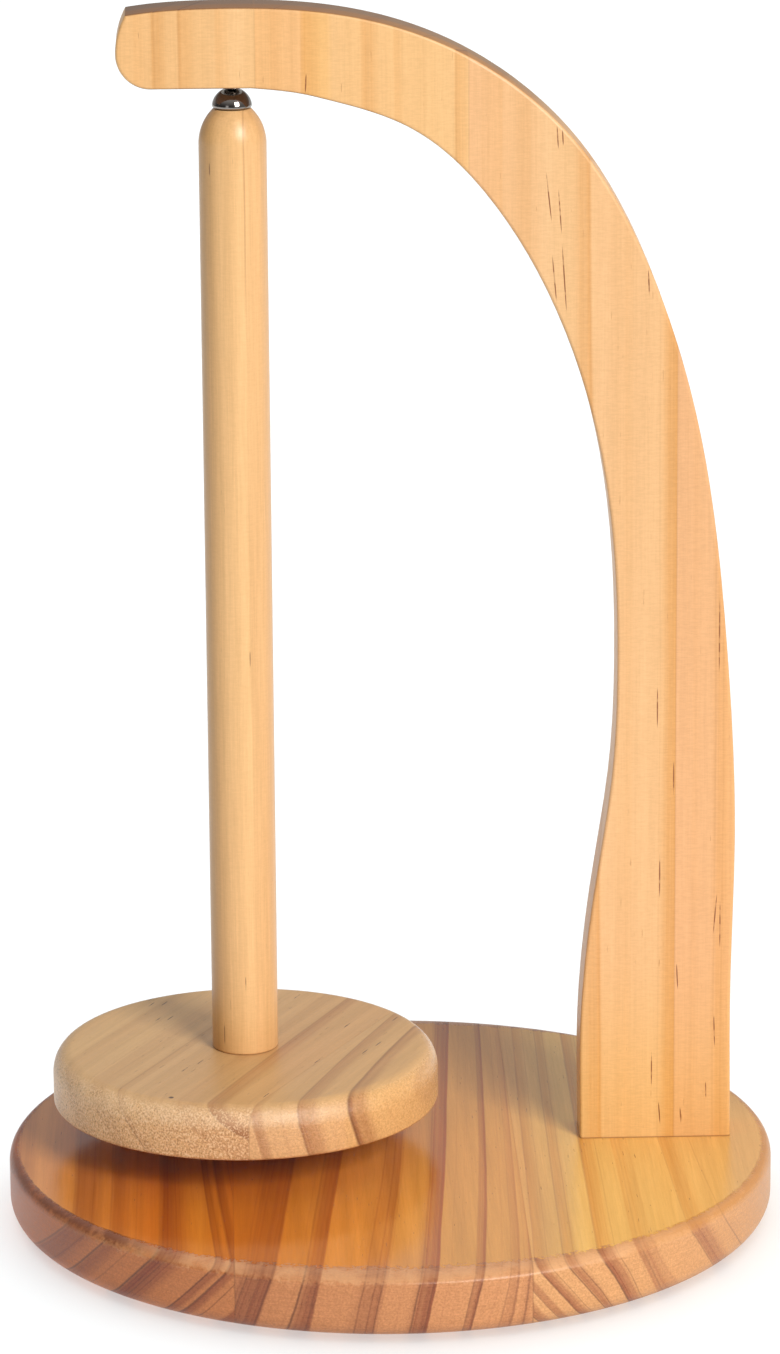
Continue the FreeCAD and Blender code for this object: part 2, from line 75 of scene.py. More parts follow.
BASE_LOW, BASE_HIGH = joined_box("base_board_left", "base_board_middle", "base_board_right")
BASE_RADIUS = BASE_HIGH.x
LEFT_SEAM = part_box("base_board_left")[1].x
RIGHT_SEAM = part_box("base_board_right")[0].x
PLATE_LOW, PLATE_HIGH = joined_box("plate_board_wide", "plate_board_narrow")
PLATE_RADIUS = (PLATE_HIGH.x - PLATE_LOW.x) / 2
PLATE_GRAIN = math.radians(62.7)
POST_LOW, POST_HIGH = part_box("post")
POST_RADIUS = (POST_HIGH.x - POST_LOW.x) / 2
AXIS = Vector(((POST_LOW.x + POST_HIGH.x) / 2, (POST_LOW.y + POST_HIGH.y) / 2, 0.0))
STUD_LOW, STUD_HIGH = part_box("pivot_stud")
ARM_LOW, ARM_HIGH = joined_box(
    "arm_board_tip", "arm_board_crown", "arm_board_column", "arm_board_edge"
)
TIP_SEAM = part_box("arm_board_tip")[1].x
CROWN_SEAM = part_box("arm_board_crown")[1].x
EDGE_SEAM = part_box("arm_board_edge")[0].x

# The photograph's frame, and the camera that its outlines give.
PHOTO_WIDTH = 780
PHOTO_HEIGHT = 1354
FOCAL_PIXELS = 6000.0
AXIS_PIXEL = (402.42, 678.52)
CAMERA_PLACE = Vector((-0.04179, -1.48740, 0.55949))
CAMERA_YAW = 0.03081
CAMERA_PITCH = 0.27280
CAMERA_ROLL = 0.00681
SENSOR = 36.0

# The wood's noises: how often each repeats for each mm across, through and along the grain.
DRIFT = (0.03, 0.03, 0.011)
RAGGED = (0.5, 0.5, 0.06)
BROAD = (0.30, 0.30, 0.008)
NARROW = (2.2, 2.2, 0.05)
HAIR = (9.0, 9.0, 0.5)
FLECK = (0.55, 0.55, 3.2)
PORE = (3.4, 3.4, 0.22)
BREAKS = (0.4, 0.4, 0.4)
SPECK = (1.7, 1.7, 1.7)
TURNED = (0.12, 5.0, 0.12)
CHIP = (2.3, 1.8, 2.3)
EDGE_WAVE = (0.9, 0.9, 0.9)
CLOUD = (0.22, 0.22, 0.22)
SWAY = (0.02, 0.02, 0.012)
# The same for each mm across the rings, and for a crack's depth.
FINE_RINGS = (0.9, 1.0, 1.0)
CRACK = (1.5, 0.35, 1.0)

# Where nearly all of a noise's values lie.
NOISE_REACH = (0.2, 0.8)

# A band of rings: how sharply it starts, in mm, and its (share of width, share of tone).
SHARP = 0.30
BAND_SHAPE = ((0.0, 1.0), (0.55, 0.72), (1.0, 0.0))
# How far rings may lie beside their board, in mm, and what a colour ramp can hold.
MARGIN = 24.0
MOST_STOPS = 32
CLOSEST_STOPS = 0.0004
# How deep a resin streak goes, in mm.
MARK_DEPTH = 1.5


class Tree:
    """The nodes of one material or world, added and linked by short calls."""

    def __init__(self, data, shader="Principled BSDF"):
        self.data = data
        data.use_nodes = True
        self.tree = data.node_tree
        self.shader = self.tree.nodes[shader].inputs
        self.coordinates = self.tree.nodes.new("ShaderNodeTexCoord").outputs

    def feed(self, socket, value):
        """Links a socket to a socket, or sets it to a plain value."""
        if isinstance(value, bpy.types.NodeSocket):
            self.tree.links.new(value, socket)
        elif value is not None:
            socket.default_value = value

    def add(self, kind, *values, **settings):
        """Adds a node, feeds its first inputs and returns its outputs."""
        node = self.tree.nodes.new(kind)
        for name, setting in settings.items():
            setattr(node, name, setting)
        for socket, value in zip(node.inputs, values):
            self.feed(socket, value)
        return node.outputs

    def math(self, operation, *values):
        return self.add("ShaderNodeMath", *values, operation=operation)[0]

    def plus(self, first, second):
        return self.math("ADD", first, second)

    def minus(self, first, second):
        return self.math("SUBTRACT", first, second)

    def times(self, *values):
        """The product of two or more values."""
        product = values[0]
        for value in values[1:]:
            product = self.math("MULTIPLY", product, value)
        return product

    def over(self, first, second):
        return self.math("DIVIDE", first, second)

    def vector(self, operation, *values):
        return self.add("ShaderNodeVectorMath", *values, operation=operation)[0]

    def join(self, across, depth, along):
        return self.add("ShaderNodeCombineXYZ", across, depth, along)[0]

    def split(self, value):
        return self.add("ShaderNodeSeparateXYZ", value)

    def span(self, value, low, high, to_low=0.0, to_high=1.0):
        """Smoothly turns a value from low to high into one from to_low to to_high."""
        values = (value, low, high, to_low, to_high)
        return self.add("ShaderNodeMapRange", *values, interpolation_type="SMOOTHSTEP")[0]

    def near(self, value, place, reach, full=0.0, level=1.0):
        """A level that a value takes within full of a place, and that ends at reach."""
        aside = self.math("ABSOLUTE", self.minus(value, place))
        return self.span(aside, reach, full, 0.0, level)

    def noise(self, place, scale, detail=2.0, roughness=0.5, around=None):
        """Noise over a place that is scaled apart along its axes. With a size in around, the
        noise lies around 0, times that size."""
        place = self.vector("MULTIPLY", place, scale)
        value = self.add("ShaderNodeTexNoise", place, None, 1.0, detail, roughness)[0]
        if around is None:
            return value
        return self.times(self.minus(value, 0.5), around)

    def ramp(self, value, stops, reach=None):
        """Colours that run through (place, colour) stops in rising order of place. reach is
        the lowest and highest place, if the stops don't start and end there."""
        start, end = reach or (stops[0][0], stops[-1][0])
        width = end - start
        node = self.tree.nodes.new("ShaderNodeValToRGB")
        self.feed(node.inputs[0], self.over(self.minus(value, start), width))
        elements = node.color_ramp.elements
        for number, (place, colour) in enumerate(stops):
            position = (place - start) / width
            if number < len(elements):
                element = elements[number]
                element.position = position
            else:
                element = elements.new(position)
            element.color = (*colour, 1.0)
        return node.outputs[0]

    def table(self, value, pairs):
        """A level that runs through (place, level) pairs, or stays at one number."""
        if isinstance(pairs, float):
            return pairs
        levels = [level for place, level in pairs]
        low = min(levels)
        reach = max(levels) - low
        stops = [(place, ((level - low) / reach,) * 3) for place, level in pairs]
        return self.math("MULTIPLY_ADD", self.ramp(value, stops), reach, low)

    def mix(self, factor, first, second, blend="MIX"):
        node = self.tree.nodes.new("ShaderNodeMix")
        node.data_type = "RGBA"
        node.blend_type = blend
        for number, value in ((0, factor), (6, solid(first)), (7, solid(second))):
            self.feed(node.inputs[number], value)
        return node.outputs[2]

    def paint(self, colour, paint, mask, strength):
        """Lays a paint over a colour where a mask is 1."""
        return self.mix(self.times(mask, strength), colour, paint)

    def tint(self, colour, factors, mask):
        """Multiplies a colour where a mask is 1."""
        return self.mix(mask, colour, self.mix(1.0, colour, factors, "MULTIPLY"))

    def vary(self, colour, streak, low, high):
        """Darkens and lightens a colour by a streak's noise, and warms it where it darkens."""
        red = self.span(streak, 0.25, 0.75, low, high)
        green = self.math("POWER", red, 1.15)
        blue = self.math("POWER", red, 1.5)
        return self.mix(1.0, colour, self.join(red, green, blue), "MULTIPLY")

    def finish(self, colour, rough, relief, distance):
        """Gives the shader its colour, roughness and relief and returns the material."""
        node = self.tree.nodes.new("ShaderNodeBump")
        node.inputs["Distance"].default_value = distance
        self.feed(node.inputs["Height"], relief)
        self.feed(self.shader["Base Color"], colour)
        self.feed(self.shader["Roughness"], rough)
        self.feed(self.shader["Normal"], node.outputs[0])
        return self.data


def solid(colour):
    """A three-part colour as a four-part one; a socket as it is."""
    if isinstance(colour, bpy.types.NodeSocket):
        return colour
    return (*tuple(colour)[:3], 1.0)


def scaled(colour, *factors):
    """A colour times one factor, or times one for each part."""
    if len(factors) == 1:
        factors = factors * 3
    return tuple(part * factor for part, factor in zip(colour, factors))


def tinted(colour, *rows):
    """(place, colour) stops from one colour and rows of a place and three factors."""
    return tuple((place, scaled(colour, *factors)) for place, *factors in rows)


@dataclass
class Board:
    """One board's figure, in millimetres.

    pale and end_pale are (place, colour) pairs across the board; pale goes from its one edge
    to its other. A ring is (place of its sharp edge, width, depth of tone) and fades to the
    side of fade_side; a line is (place, half width, tone). Both lie where they cross the show
    face at the place front along the grain. leans gives (place, how far rings shift for each
    mm of depth), and slants the same for each mm along the grain; either can be one number."""

    pale: tuple
    dark: tuple
    end_pale: tuple
    end_dark: tuple
    rings: tuple
    leans: object
    slants: object = 0.0
    lines: tuple = ()
    front: float = 0.0
    fade_side: int = 1
    marks: tuple = ()


# A point's place on a board in mm, these three together, and how far it faces along the grain.
Spot = namedtuple("Spot", "across depth along place end")


def board_space(tree, grain, turn=0.0, centre=(0.0, 0.0, 0.0)):
    """A board's own coordinates. grain is the axis of the fibres, and turn swings the board
    about Z first."""
    place = tree.vector("SUBTRACT", tree.coordinates["Object"], tuple(centre))
    normal = tree.coordinates["Normal"]
    if turn:
        place, normal = (
            tree.add("ShaderNodeVectorRotate", way, None, None, -turn, rotation_type="Z_AXIS")[0]
            for way in (place, normal)
        )
    x, y, z = tree.split(tree.vector("MULTIPLY", place, TO_MM))
    across, depth, along = {"X": (y, z, x), "Y": (x, z, y), "Z": (x, y, z)}[grain]
    end = tree.math("ABSOLUTE", tree.split(normal)[grain])
    return Spot(across, depth, along, tree.join(across, depth, along), end)


def ring_place(tree, board, spot, face_depth, wave):
    """Where a point lies among the board's rings, measured on its show face."""
    drift = tree.noise(spot.place, DRIFT, around=wave)
    ragged = tree.noise(spot.place, RAGGED, around=wave * 0.16)
    below = tree.minus(spot.depth, face_depth)
    beyond = tree.minus(spot.along, board.front)
    leaning = tree.times(tree.table(spot.across, board.leans), below)
    slanting = tree.times(tree.table(spot.across, board.slants), beyond)
    shifted = tree.minus(tree.minus(spot.across, leaning), slanting)
    return tree.plus(shifted, tree.plus(drift, ragged))


def band_tone(tree, board, ring):
    """How dark the rings make a place, 0 to 1: sharp on one side, fading on the other."""
    low, high = board.pale[0][0] - MARGIN, board.pale[-1][0] + MARGIN
    closest = CLOSEST_STOPS * (high - low)
    stops = []
    for edge, fade, tone in sorted(board.rings):
        points = [(edge - SHARP * board.fade_side, 0.0)]
        points += [(edge + board.fade_side * fade * far, tone * part) for far, part in BAND_SHAPE]
        for place, level in sorted(points):
            if not stops or place > stops[-1][0] + closest:
                stops.append((place, (level, level, level)))
    return tree.ramp(ring, stops[:MOST_STOPS], (low, high))


def line_tone(tree, board, ring):
    """How dark the thin lines between early and late wood make a place, 0 to 1."""
    total = 0.0
    for place, half_width, tone in board.lines:
        line = tree.near(ring, place, half_width, level=tone)
        total = tree.math("MAXIMUM", total, line)
    return total


def mark_mask(tree, marks, spot):
    """Dark resin streaks, each (across, depth, along, half width, half length, slant), thin
    and broken along their length."""
    total = 0.0
    for across, depth, along, half_width, half_length, slant in marks:
        from_middle = tree.minus(spot.along, along)
        aside = tree.math("MULTIPLY_ADD", from_middle, -slant, tree.minus(spot.across, across))
        sized = tree.join(
            tree.over(aside, half_width),
            tree.over(tree.minus(spot.depth, depth), MARK_DEPTH),
            tree.over(from_middle, half_length),
        )
        away = tree.add("ShaderNodeVectorMath", sized, operation="LENGTH")["Value"]
        total = tree.math("MAXIMUM", total, tree.span(away, 1.0, 0.65))
    whole = tree.span(tree.noise(spot.place, BREAKS, 1.0), 0.36, 0.50, 0.4, 1.0)
    return tree.times(total, whole)


def streaked(tree, look, spot, colour, marks):
    """Lays streaks, flecks, short pores and resin marks over a colour. Returns it, and the
    narrow streaks, hair-fine streaks and pores that the relief follows."""
    broad = tree.noise(spot.place, BROAD, 3.0, 0.6)
    narrow = tree.noise(spot.place, NARROW, 3.0, 0.65)
    hair = tree.noise(spot.place, HAIR, 2.0, 0.6)
    fleck = tree.noise(spot.place, FLECK, 2.0, 0.6)
    for name, streak in (("broad", broad), ("narrow", narrow), ("hair", hair), ("fleck", fleck)):
        colour = tree.vary(colour, streak, *look[name])
    dash = tree.noise(spot.place, PORE, 1.0, 0.4)
    pores = tree.span(dash, 0.74 - look["pores"], 0.80 - look["pores"])
    colour = tree.paint(colour, look["pore"], pores, look["pore_share"])
    if marks:
        resin = mark_mask(tree, marks, spot)
        colour = tree.paint(colour, look["resin"], resin, look["resin_share"])
    return colour, narrow, hair, pores


def end_wood(tree, board, look, spot, ring, tone, lines):
    """Colour of a board's end grain, and the specks and saw marks that its relief follows."""
    speck = tree.noise(spot.place, SPECK, 4.0, 0.7)
    turned = tree.noise(spot.place, TURNED, 3.0, 0.6)
    colour = tree.mix(tone, tree.ramp(spot.across, board.end_pale), board.end_dark)
    if "front_tint" in look:
        towards_front = tree.span(spot.depth, *look["front_reach"])
        colour = tree.tint(colour, look["front_tint"], towards_front)
    colour = tree.paint(colour, look["crack"], lines, 0.85)
    colour = tree.vary(colour, speck, *look["speck"])
    colour = tree.vary(colour, turned, *look["turned"])
    cracks = tree.noise(tree.join(ring, spot.depth, 0.0), CRACK, 2.0, 0.6)
    in_rings = tree.math("MULTIPLY_ADD", tone, 0.75, 0.1)
    cracks = tree.times(tree.span(cracks, 0.62, 0.70), in_rings)
    colour = tree.paint(colour, look["crack"], cracks, look["cracks"])
    if look["chips"]:
        chip = tree.noise(spot.place, CHIP, 1.5, 0.5)
        colour = tree.paint(colour, look["chip"], tree.span(chip, 0.54, 0.60), look["chips"])
        colour = tree.paint(colour, look["pit"], tree.span(chip, 0.44, 0.37), look["chips"])
        speck = tree.mix(look["chips"], speck, chip)
    return colour, speck, turned


def eased_edge(tree, look, spot, tone, colour, end_colour):
    """The wood over a turned board's rounded edge: a light band over the end grain, partly
    sanded wood and partly painted highlight, and, where the look has a stain, a run of
    varnish along the sides. Returns the share of end grain and both colours."""
    edge = tree.add("ShaderNodeAttribute", attribute_name="edge_place")["Fac"]
    ragged = tree.noise(spot.place, EDGE_WAVE, 3.0, 0.6, around=look["ragged"])
    edge = tree.plus(edge, ragged)
    cloud = tree.noise(spot.place, CLOUD, 3.0, 0.6)
    # The light band over the end grain: sanded wood, with a painted highlight on the rounding.
    band = tree.times(
        tree.span(edge, 0.05, 0.3),
        tree.span(edge, 1.05, 0.70),
        tree.span(tree.math("ABSOLUTE", spot.along), *look["band_reach"]),
        tree.span(cloud, 0.3, 0.6, 0.45, 1.0),
    )
    sanded_and_highlight_colour = tree.paint(look["band"], look["band_ring"], tone, 0.8)
    end_colour = tree.paint(end_colour, sanded_and_highlight_colour, band, look["edge_band_and_highlight"])
    if "stain" in look:
        left = tree.span(tree.times(spot.across, -1.0), *look["stain_reach"])
        right = tree.span(spot.across, *look["stain_reach"], 0.0, look["right_share"])
        stain = tree.times(
            tree.span(edge, -0.35, 0.05),
            tree.span(edge, 0.95, 0.40),
            tree.math("MAXIMUM", left, right),
            tree.span(cloud, 0.28, 0.55, 0.35, 1.0),
            tree.span(spot.along, 8.0, -30.0, 0.2, 1.0),
        )
        to_right = tree.span(spot.across, -40.0, 40.0)
        run = tree.mix(to_right, look["stain"], look["right_stain"])
        colour = tree.mix(stain, colour, run)
        end_colour = tree.mix(stain, end_colour, run)
    return tree.span(edge, *look["edge_span"]), colour, end_colour


def board_wood(name, board, look, grain, face_depth, turn=0.0, centre=(0, 0, 0), seams=()):
    """Wood of a glued panel: rings, fibres, pores, resin marks, end grain and glue lines.
    A turned board carries its place over the rounded edge in edge_place."""
    tree = Tree(bpy.data.materials.new(name))
    spot = board_space(tree, grain, turn, centre)
    ring = ring_place(tree, board, spot, face_depth, look["wave"])
    fine = tree.noise(tree.join(ring, 0.0, 0.0), FINE_RINGS, 3.0, 0.65)
    tone = tree.times(band_tone(tree, board, ring), tree.span(fine, 0.3, 0.7, 0.72, 1.12))
    tone = tree.plus(tone, tree.span(fine, 0.50, 0.72, 0.0, look["line"]))
    tone = tree.math("MINIMUM", tone, 1.0)
    lines = line_tone(tree, board, ring)

    colour = tree.mix(tone, tree.ramp(spot.across, board.pale), board.dark)
    colour = tree.paint(colour, look["line_colour"], lines, look["line_share"])
    colour, narrow, hair, pores = streaked(tree, look, spot, colour, board.marks)
    end_colour, speck, turned = end_wood(tree, board, look, spot, ring, tone, lines)
    if "edge_band_and_highlight" in look:
        on_end, colour, end_colour = eased_edge(tree, look, spot, tone, colour, end_colour)
    else:
        on_end = tree.span(spot.end, *look["end_span"])
    colour = tree.mix(on_end, colour, end_colour)
    # Tone along the grain: on the base, painted shade of the arm's cast shadow makes the back
    # darker; on the arm, the wood turns warmer towards the foot.
    colour = tree.tint(colour, look["tone_and_painted_shade"], tree.span(spot.along, *look["tone_and_painted_shade_reach"]))
    on_top = look["top_glue"]
    strength = tree.math("MULTIPLY_ADD", on_end, look["glue"] - on_top, on_top)
    for seam in seams:
        line = tree.near(spot.across, seam, 0.34, 0.10)
        colour = tree.paint(colour, look["glue_colour"], line, strength)
    # A thin dark line along the arm's bottom where it stands on the base: the joint, with painted
    # contact shade.
    if "foot_reach" in look:
        joint_and_contact_shade = tree.span(spot.along, *look["foot_reach"], 0.0, 0.75)
        colour = tree.mix(joint_and_contact_shade, colour, look["foot_joint_shade_colour"])

    rough = tree.span(narrow, *NOISE_REACH, *look["rough"])
    end_rough = tree.span(speck, *NOISE_REACH, *look["end_rough"])
    on_face = tree.minus(1.0, on_end)
    rough = tree.plus(tree.times(rough, on_face), tree.times(end_rough, on_end))
    relief = tree.plus(tree.times(narrow, 0.6), tree.times(hair, 0.4))
    relief = tree.minus(relief, tree.times(pores, 1.5))
    relief = tree.times(relief, tree.math("MULTIPLY_ADD", on_end, -0.8, 1.0))
    end_relief = tree.plus(speck, tree.times(turned, 0.6))
    end_relief = tree.times(end_relief, on_end, look["end_relief"])
    return tree.finish(colour, rough, tree.plus(relief, end_relief), look["relief"])


def lathe(profile_at, sides, wobble=0.0):
    """A closed mesh turned about Z. profile_at gives, for an angle, the outline's points as
    (radius, height, edge place), which start and end on the axis. wobble is how far the
    turned surface strays, as hand-sanded wood does."""
    shape = bmesh.new()
    places = shape.verts.layers.float.new("edge_place")
    columns = [profile_at(math.tau * number / sides) for number in range(sides)]
    rings = []
    for level, (radius, height, edge) in enumerate(columns[0]):
        if radius == 0.0:
            ring = [shape.verts.new((0.0, 0.0, height))]
            ring[0][places] = edge
        else:
            ring = []
            for number, column in enumerate(columns):
                radius, height, edge = column[level]
                angle = math.tau * number / sides
                spot = Vector((math.cos(angle) * 3.0, math.sin(angle) * 3.0, height * 120.0))
                reach = radius - abs(noise.noise(spot)) * wobble
                point = (reach * math.cos(angle), reach * math.sin(angle), height)
                ring.append(shape.verts.new(point))
                ring[-1][places] = edge
        rings.append(ring)
    for lower, upper in zip(rings, rings[1:]):
        for number in range(sides):
            after = (number + 1) % sides
            if len(lower) == 1:
                corners = (lower[0], upper[after], upper[number])
            elif len(upper) == 1:
                corners = (lower[number], lower[after], upper[0])
            else:
                corners = (lower[number], lower[after], upper[after], upper[number])
            shape.faces.new(corners)
    return shape


def bend(radius, height, reach, drop, start, end, first, last, steps=10):
    """Points of an elliptic edge about a centre, from one angle to another in degrees, whose
    edge place runs from first to last."""
    points = []
    for number in range(steps + 1):
        share = number / steps
        angle = math.radians(start + (end - start) * share)
        point = (radius + reach * math.cos(angle), height + drop * math.sin(angle))
        points.append((*point, first + (last - first) * share))
    return points


def disc_profile(radius, low, high, lower_round, reach, drop):
    """A disc's outline. Its edge place is 0 where the flat top ends, 1 where the side
    begins, 2 where it ends and 3 underneath; inside the flat top it counts down in mm."""
    inside = 0.4 * MM
    flat = radius - reach
    corner = radius - lower_round
    profile = [(0.0, low, 3.0), (corner - inside, low, 3.0)]
    profile += bend(corner, low + lower_round, lower_round, lower_round, -90, 0, 3.0, 2.0)
    profile += bend(flat, high - drop, reach, drop, 0, 90, 1.0, 0.0, 14)
    profile += [(flat - inside, high, -0.4), (0.0, high, -in_mm(flat))]
    return profile


def saw(shape, point, normal, ease):
    """Cuts away what lies beyond a plane, closes the cut and eases its edges."""
    everything = shape.verts[:] + shape.edges[:] + shape.faces[:]
    result = bmesh.ops.bisect_plane(
        shape, geom=everything, plane_co=point, plane_no=normal, clear_outer=True, dist=1e-7
    )
    cut = [item for item in result["geom_cut"] if isinstance(item, bmesh.types.BMEdge)]
    bmesh.ops.holes_fill(shape, edges=cut)
    bmesh.ops.bevel(shape, geom=cut, offset=ease, segments=1, affect="EDGES", profile=0.5)


def finish_piece(shape, name, body, material, replaced, offset=(0, 0, 0), sharp_angle=32):
    """Turns a bmesh into a smooth-shaded piece that rides on a body."""
    bmesh.ops.recalc_face_normals(shape, faces=shape.faces[:])
    mesh = bpy.data.meshes.new(name)
    shape.transform(Matrix.Translation(offset))
    shape.to_mesh(mesh)
    shape.free()
    mesh.polygons.foreach_set("use_smooth", [True] * len(mesh.polygons))
    mesh.set_sharp_from_angle(angle=math.radians(sharp_angle))
    mesh.materials.append(material)
    piece = bpy.data.objects.new(name, mesh)
    bpy.context.scene.collection.objects.link(piece)
    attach(piece, body)
    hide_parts(*replaced)


def dress(node, material):
    """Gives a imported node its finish."""
    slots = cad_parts[node].material_slots
    for slot in slots:
        slot.material = material
    if not slots:
        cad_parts[node].data.materials.append(material)


def colour_property(name, default, description):
    return FloatVectorProperty(
        name=name, description=description, default=default, subtype="COLOR", min=0.0, max=1.0
    )


def number_property(name, default, description, subtype="NONE", unit="NONE"):
    return FloatProperty(
        name=name, description=description, default=default, min=0.0, subtype=subtype, unit=unit
    )


def length_property(name, millimetres, description):
    return number_property(name, millimetres * MM, description, "DISTANCE", "LENGTH")


def power_property(name, watts, description):
    return number_property(name, watts, description, "POWER", "POWER")


class BaseSettings(bpy.types.PropertyGroup):
    """Sizes and colours of the round base."""

    side_reach: length_property(
        "Edge width at the sides", 2.6, "How far in the top's rounding starts at the sides"
    )
    front_reach: length_property(
        "Edge width at the front", 8.0, "How far in it starts over the end grain"
    )
    side_drop: length_property(
        "Edge depth at the sides", 3.0, "How far down the rounding goes at the sides"
    )
    front_drop: length_property(
        "Edge depth at the front", 2.2, "How far down it goes over the end grain"
    )
    bottom_round: length_property("Bottom rounding", 4.6, "Radius of the lower edge")
    glue_ease: length_property("Eased glue edge", 0.03, "Bevel along each glued edge")
    pale: colour_property("Pale wood", (0.69, 0.257, 0.046), "Top between the rings")
    dark: colour_property("Ring wood", (0.38, 0.085, 0.010), "Top at a ring")
    end_pale: colour_property("Pale end grain", (0.505, 0.222, 0.097), "Rim between the rings")
    end_dark: colour_property("Ring end grain", (0.215, 0.048, 0.016), "Rim at a ring")
    # The sanded edge colour is partly painted highlight on the rounded end grain.
    sanded: colour_property("Sanded edge", (0.66, 0.35, 0.165), "Light band over the end grain")
    stain: colour_property("Varnish run", (0.17, 0.038, 0.004), "Dark line along the left edge")


class ArmSettings(bpy.types.PropertyGroup):
    """Colours of the four arm boards."""

    tip: colour_property("Tip board", (0.72, 0.417, 0.176), "First board of the arm")
    crown: colour_property("Crown board", (0.735, 0.415, 0.172), "Second board of the arm")
    column: colour_property("Column board", (0.73, 0.423, 0.197), "Third board of the arm")
    edge: colour_property("Edge board", (0.70, 0.375, 0.170), "Last board of the arm")
    ring: colour_property("Ring wood", (0.62, 0.285, 0.075), "Arm at a ring")
    end_grain: colour_property("End grain", (0.31, 0.185, 0.105), "Top edge of the arch")


class SpindleSettings(bpy.types.PropertyGroup):
    """Sizes and colours of the hanging spindle."""

    plate_reach: length_property(
        "Plate edge width", 5.0, "How far in the rounding of its upper edge starts"
    )
    plate_drop: length_property("Plate edge depth", 6.0, "How far down the rounding goes")
    plate_bottom_round: length_property(
        "Plate bottom rounding", 0.9, "Radius of the plate's lower edge"
    )
    glue_ease: length_property("Eased glue edge", 0.03, "Bevel along each glued edge")
    shoulder: length_property("Post shoulder", 9.0, "Height of the rounded shoulder")
    post_flat: length_property("Post flat", 4.75, "Radius of the flat under the stud")
    post_foot: length_property("Post foot", 0.6, "Rounding of the post's lower edge")
    plate: colour_property("Plate wood", (0.575, 0.342, 0.149), "Plate between the rings")
    plate_ring: colour_property("Plate ring", (0.40, 0.185, 0.068), "Plate at a ring")
    plate_end: colour_property("Plate end grain", (0.635, 0.375, 0.18), "Rim between the rings")
    plate_end_ring: colour_property("Plate end ring", (0.30, 0.10, 0.035), "Rim at a ring")
    post_left: colour_property("Post, first tone", (0.75, 0.445, 0.195), "Post left of the line")
    post_right: colour_property("Post, second tone", (0.70, 0.40, 0.17), "Post right of the line")


class HardwareSettings(bpy.types.PropertyGroup):
    """Sizes and colours of the stud, magnet, screws and pads."""

    shank: length_property("Shank", 1.6, "Radius of the stud's shank")
    shank_length: length_property("Shank length", 20.0, "From its point to the head")
    shank_point: length_property("Shank point", 3.0, "Length of its point")
    rim: length_property("Head rim", 0.7, "Height of the head below its dome")
    steel: colour_property("Stud", (0.31, 0.275, 0.25), "Polished steel")
    nickel: colour_property("Magnet", (0.55, 0.54, 0.52), "Nickel plating")
    zinc: colour_property("Screws", (0.6, 0.6, 0.57), "Zinc plating")
    rubber: colour_property("Pads", (0.03, 0.03, 0.03), "Black rubber at its lightest")


class StageSettings(bpy.types.PropertyGroup):
    """Strengths of the studio lights and the floor's colour."""

    key: power_property("Key light", 42.5, "Power of the large light in front, on the right")
    fill: power_property("Fill light", 1.0, "Power of the light in front, on the left")
    wash: power_property("Floor wash", 176.0, "Power of the high light that whitens the floor")
    foot: power_property("Foot light", 4.5, "Power of the narrow light on the arm's foot")
    sky: number_property("Sky", 0.84, "Strength of the white above")
    floor_dark: colour_property("Floor, darkest", (0.885, 0.92, 0.93), "Paper between clouds")
    floor_light: colour_property("Floor, lightest", (0.915, 0.95, 0.96), "Paper in a cloud")


# How each wood is finished. A pair of numbers is a lowest and a highest share or place.
WOOD_LOOK = dict(
    pore_share=0.7, resin_share=0.92, chips=0.0,
    end_relief=1.6, tone_and_painted_shade=(1.0, 1.0, 1.0), tone_and_painted_shade_reach=(0.0, 50.0),
)
BASE_LOOK = WOOD_LOOK | dict(
    wave=1.3, line=0.20, line_share=0.36, line_colour=(0.24, 0.050, 0.008),
    broad=(0.90, 1.08), narrow=(0.95, 1.04), hair=(0.97, 1.02), fleck=(0.985, 1.01),
    speck=(0.80, 1.14), turned=(0.90, 1.07),
    cracks=0.65, crack=(0.11, 0.028, 0.010),
    pores=-0.03, pore=(0.16, 0.05, 0.015), resin=(0.16, 0.05, 0.015),
    edge_span=(0.02, 0.16), ragged=0.9,
    band_reach=(35.0, 75.0), edge_band_and_highlight=0.62, band_ring=(0.38, 0.13, 0.045),
    stain_reach=(52.0, 76.0), right_stain=(0.50, 0.21, 0.045), right_share=0.7,
    # Darker towards the back: painted shade of the arm's cast shadow.
    tone_and_painted_shade=(0.81, 0.82, 0.93), tone_and_painted_shade_reach=(-4.0, 42.0),
    glue=0.30, top_glue=0.12, glue_colour=(0.13, 0.045, 0.018),
    rough=(0.10, 0.17), end_rough=(0.30, 0.46), relief=0.00004,
)
ARM_LOOK = WOOD_LOOK | dict(
    wave=1.2, line=0.10, line_share=0.5, line_colour=(0.46, 0.20, 0.05),
    broad=(0.965, 1.025), narrow=(0.965, 1.025), hair=(0.975, 1.015),
    fleck=(0.95, 1.035), speck=(0.85, 1.1), turned=(0.94, 1.05),
    cracks=0.3, crack=(0.08, 0.04, 0.03),
    pores=-0.035, pore=(0.42, 0.19, 0.06), resin=(0.20, 0.055, 0.012),
    end_span=(0.55, 0.85), front_tint=(1.32, 1.03, 0.57), front_reach=(6.0, 1.5),
    tone_and_painted_shade=(1.0, 1.02, 0.84), tone_and_painted_shade_reach=(75.0, 20.0),
    # A thin dark line at the foot: the joint, with painted contact shade.
    foot_reach=(in_mm(BASE_HIGH.z) + 0.5, in_mm(BASE_HIGH.z) + 0.12),
    foot_joint_shade_colour=(0.26, 0.095, 0.02),
    glue=0.2, top_glue=0.2, glue_colour=(0.36, 0.17, 0.06),
    rough=(0.36, 0.48), end_rough=(0.5, 0.62), end_relief=1.0, relief=0.00003,
)
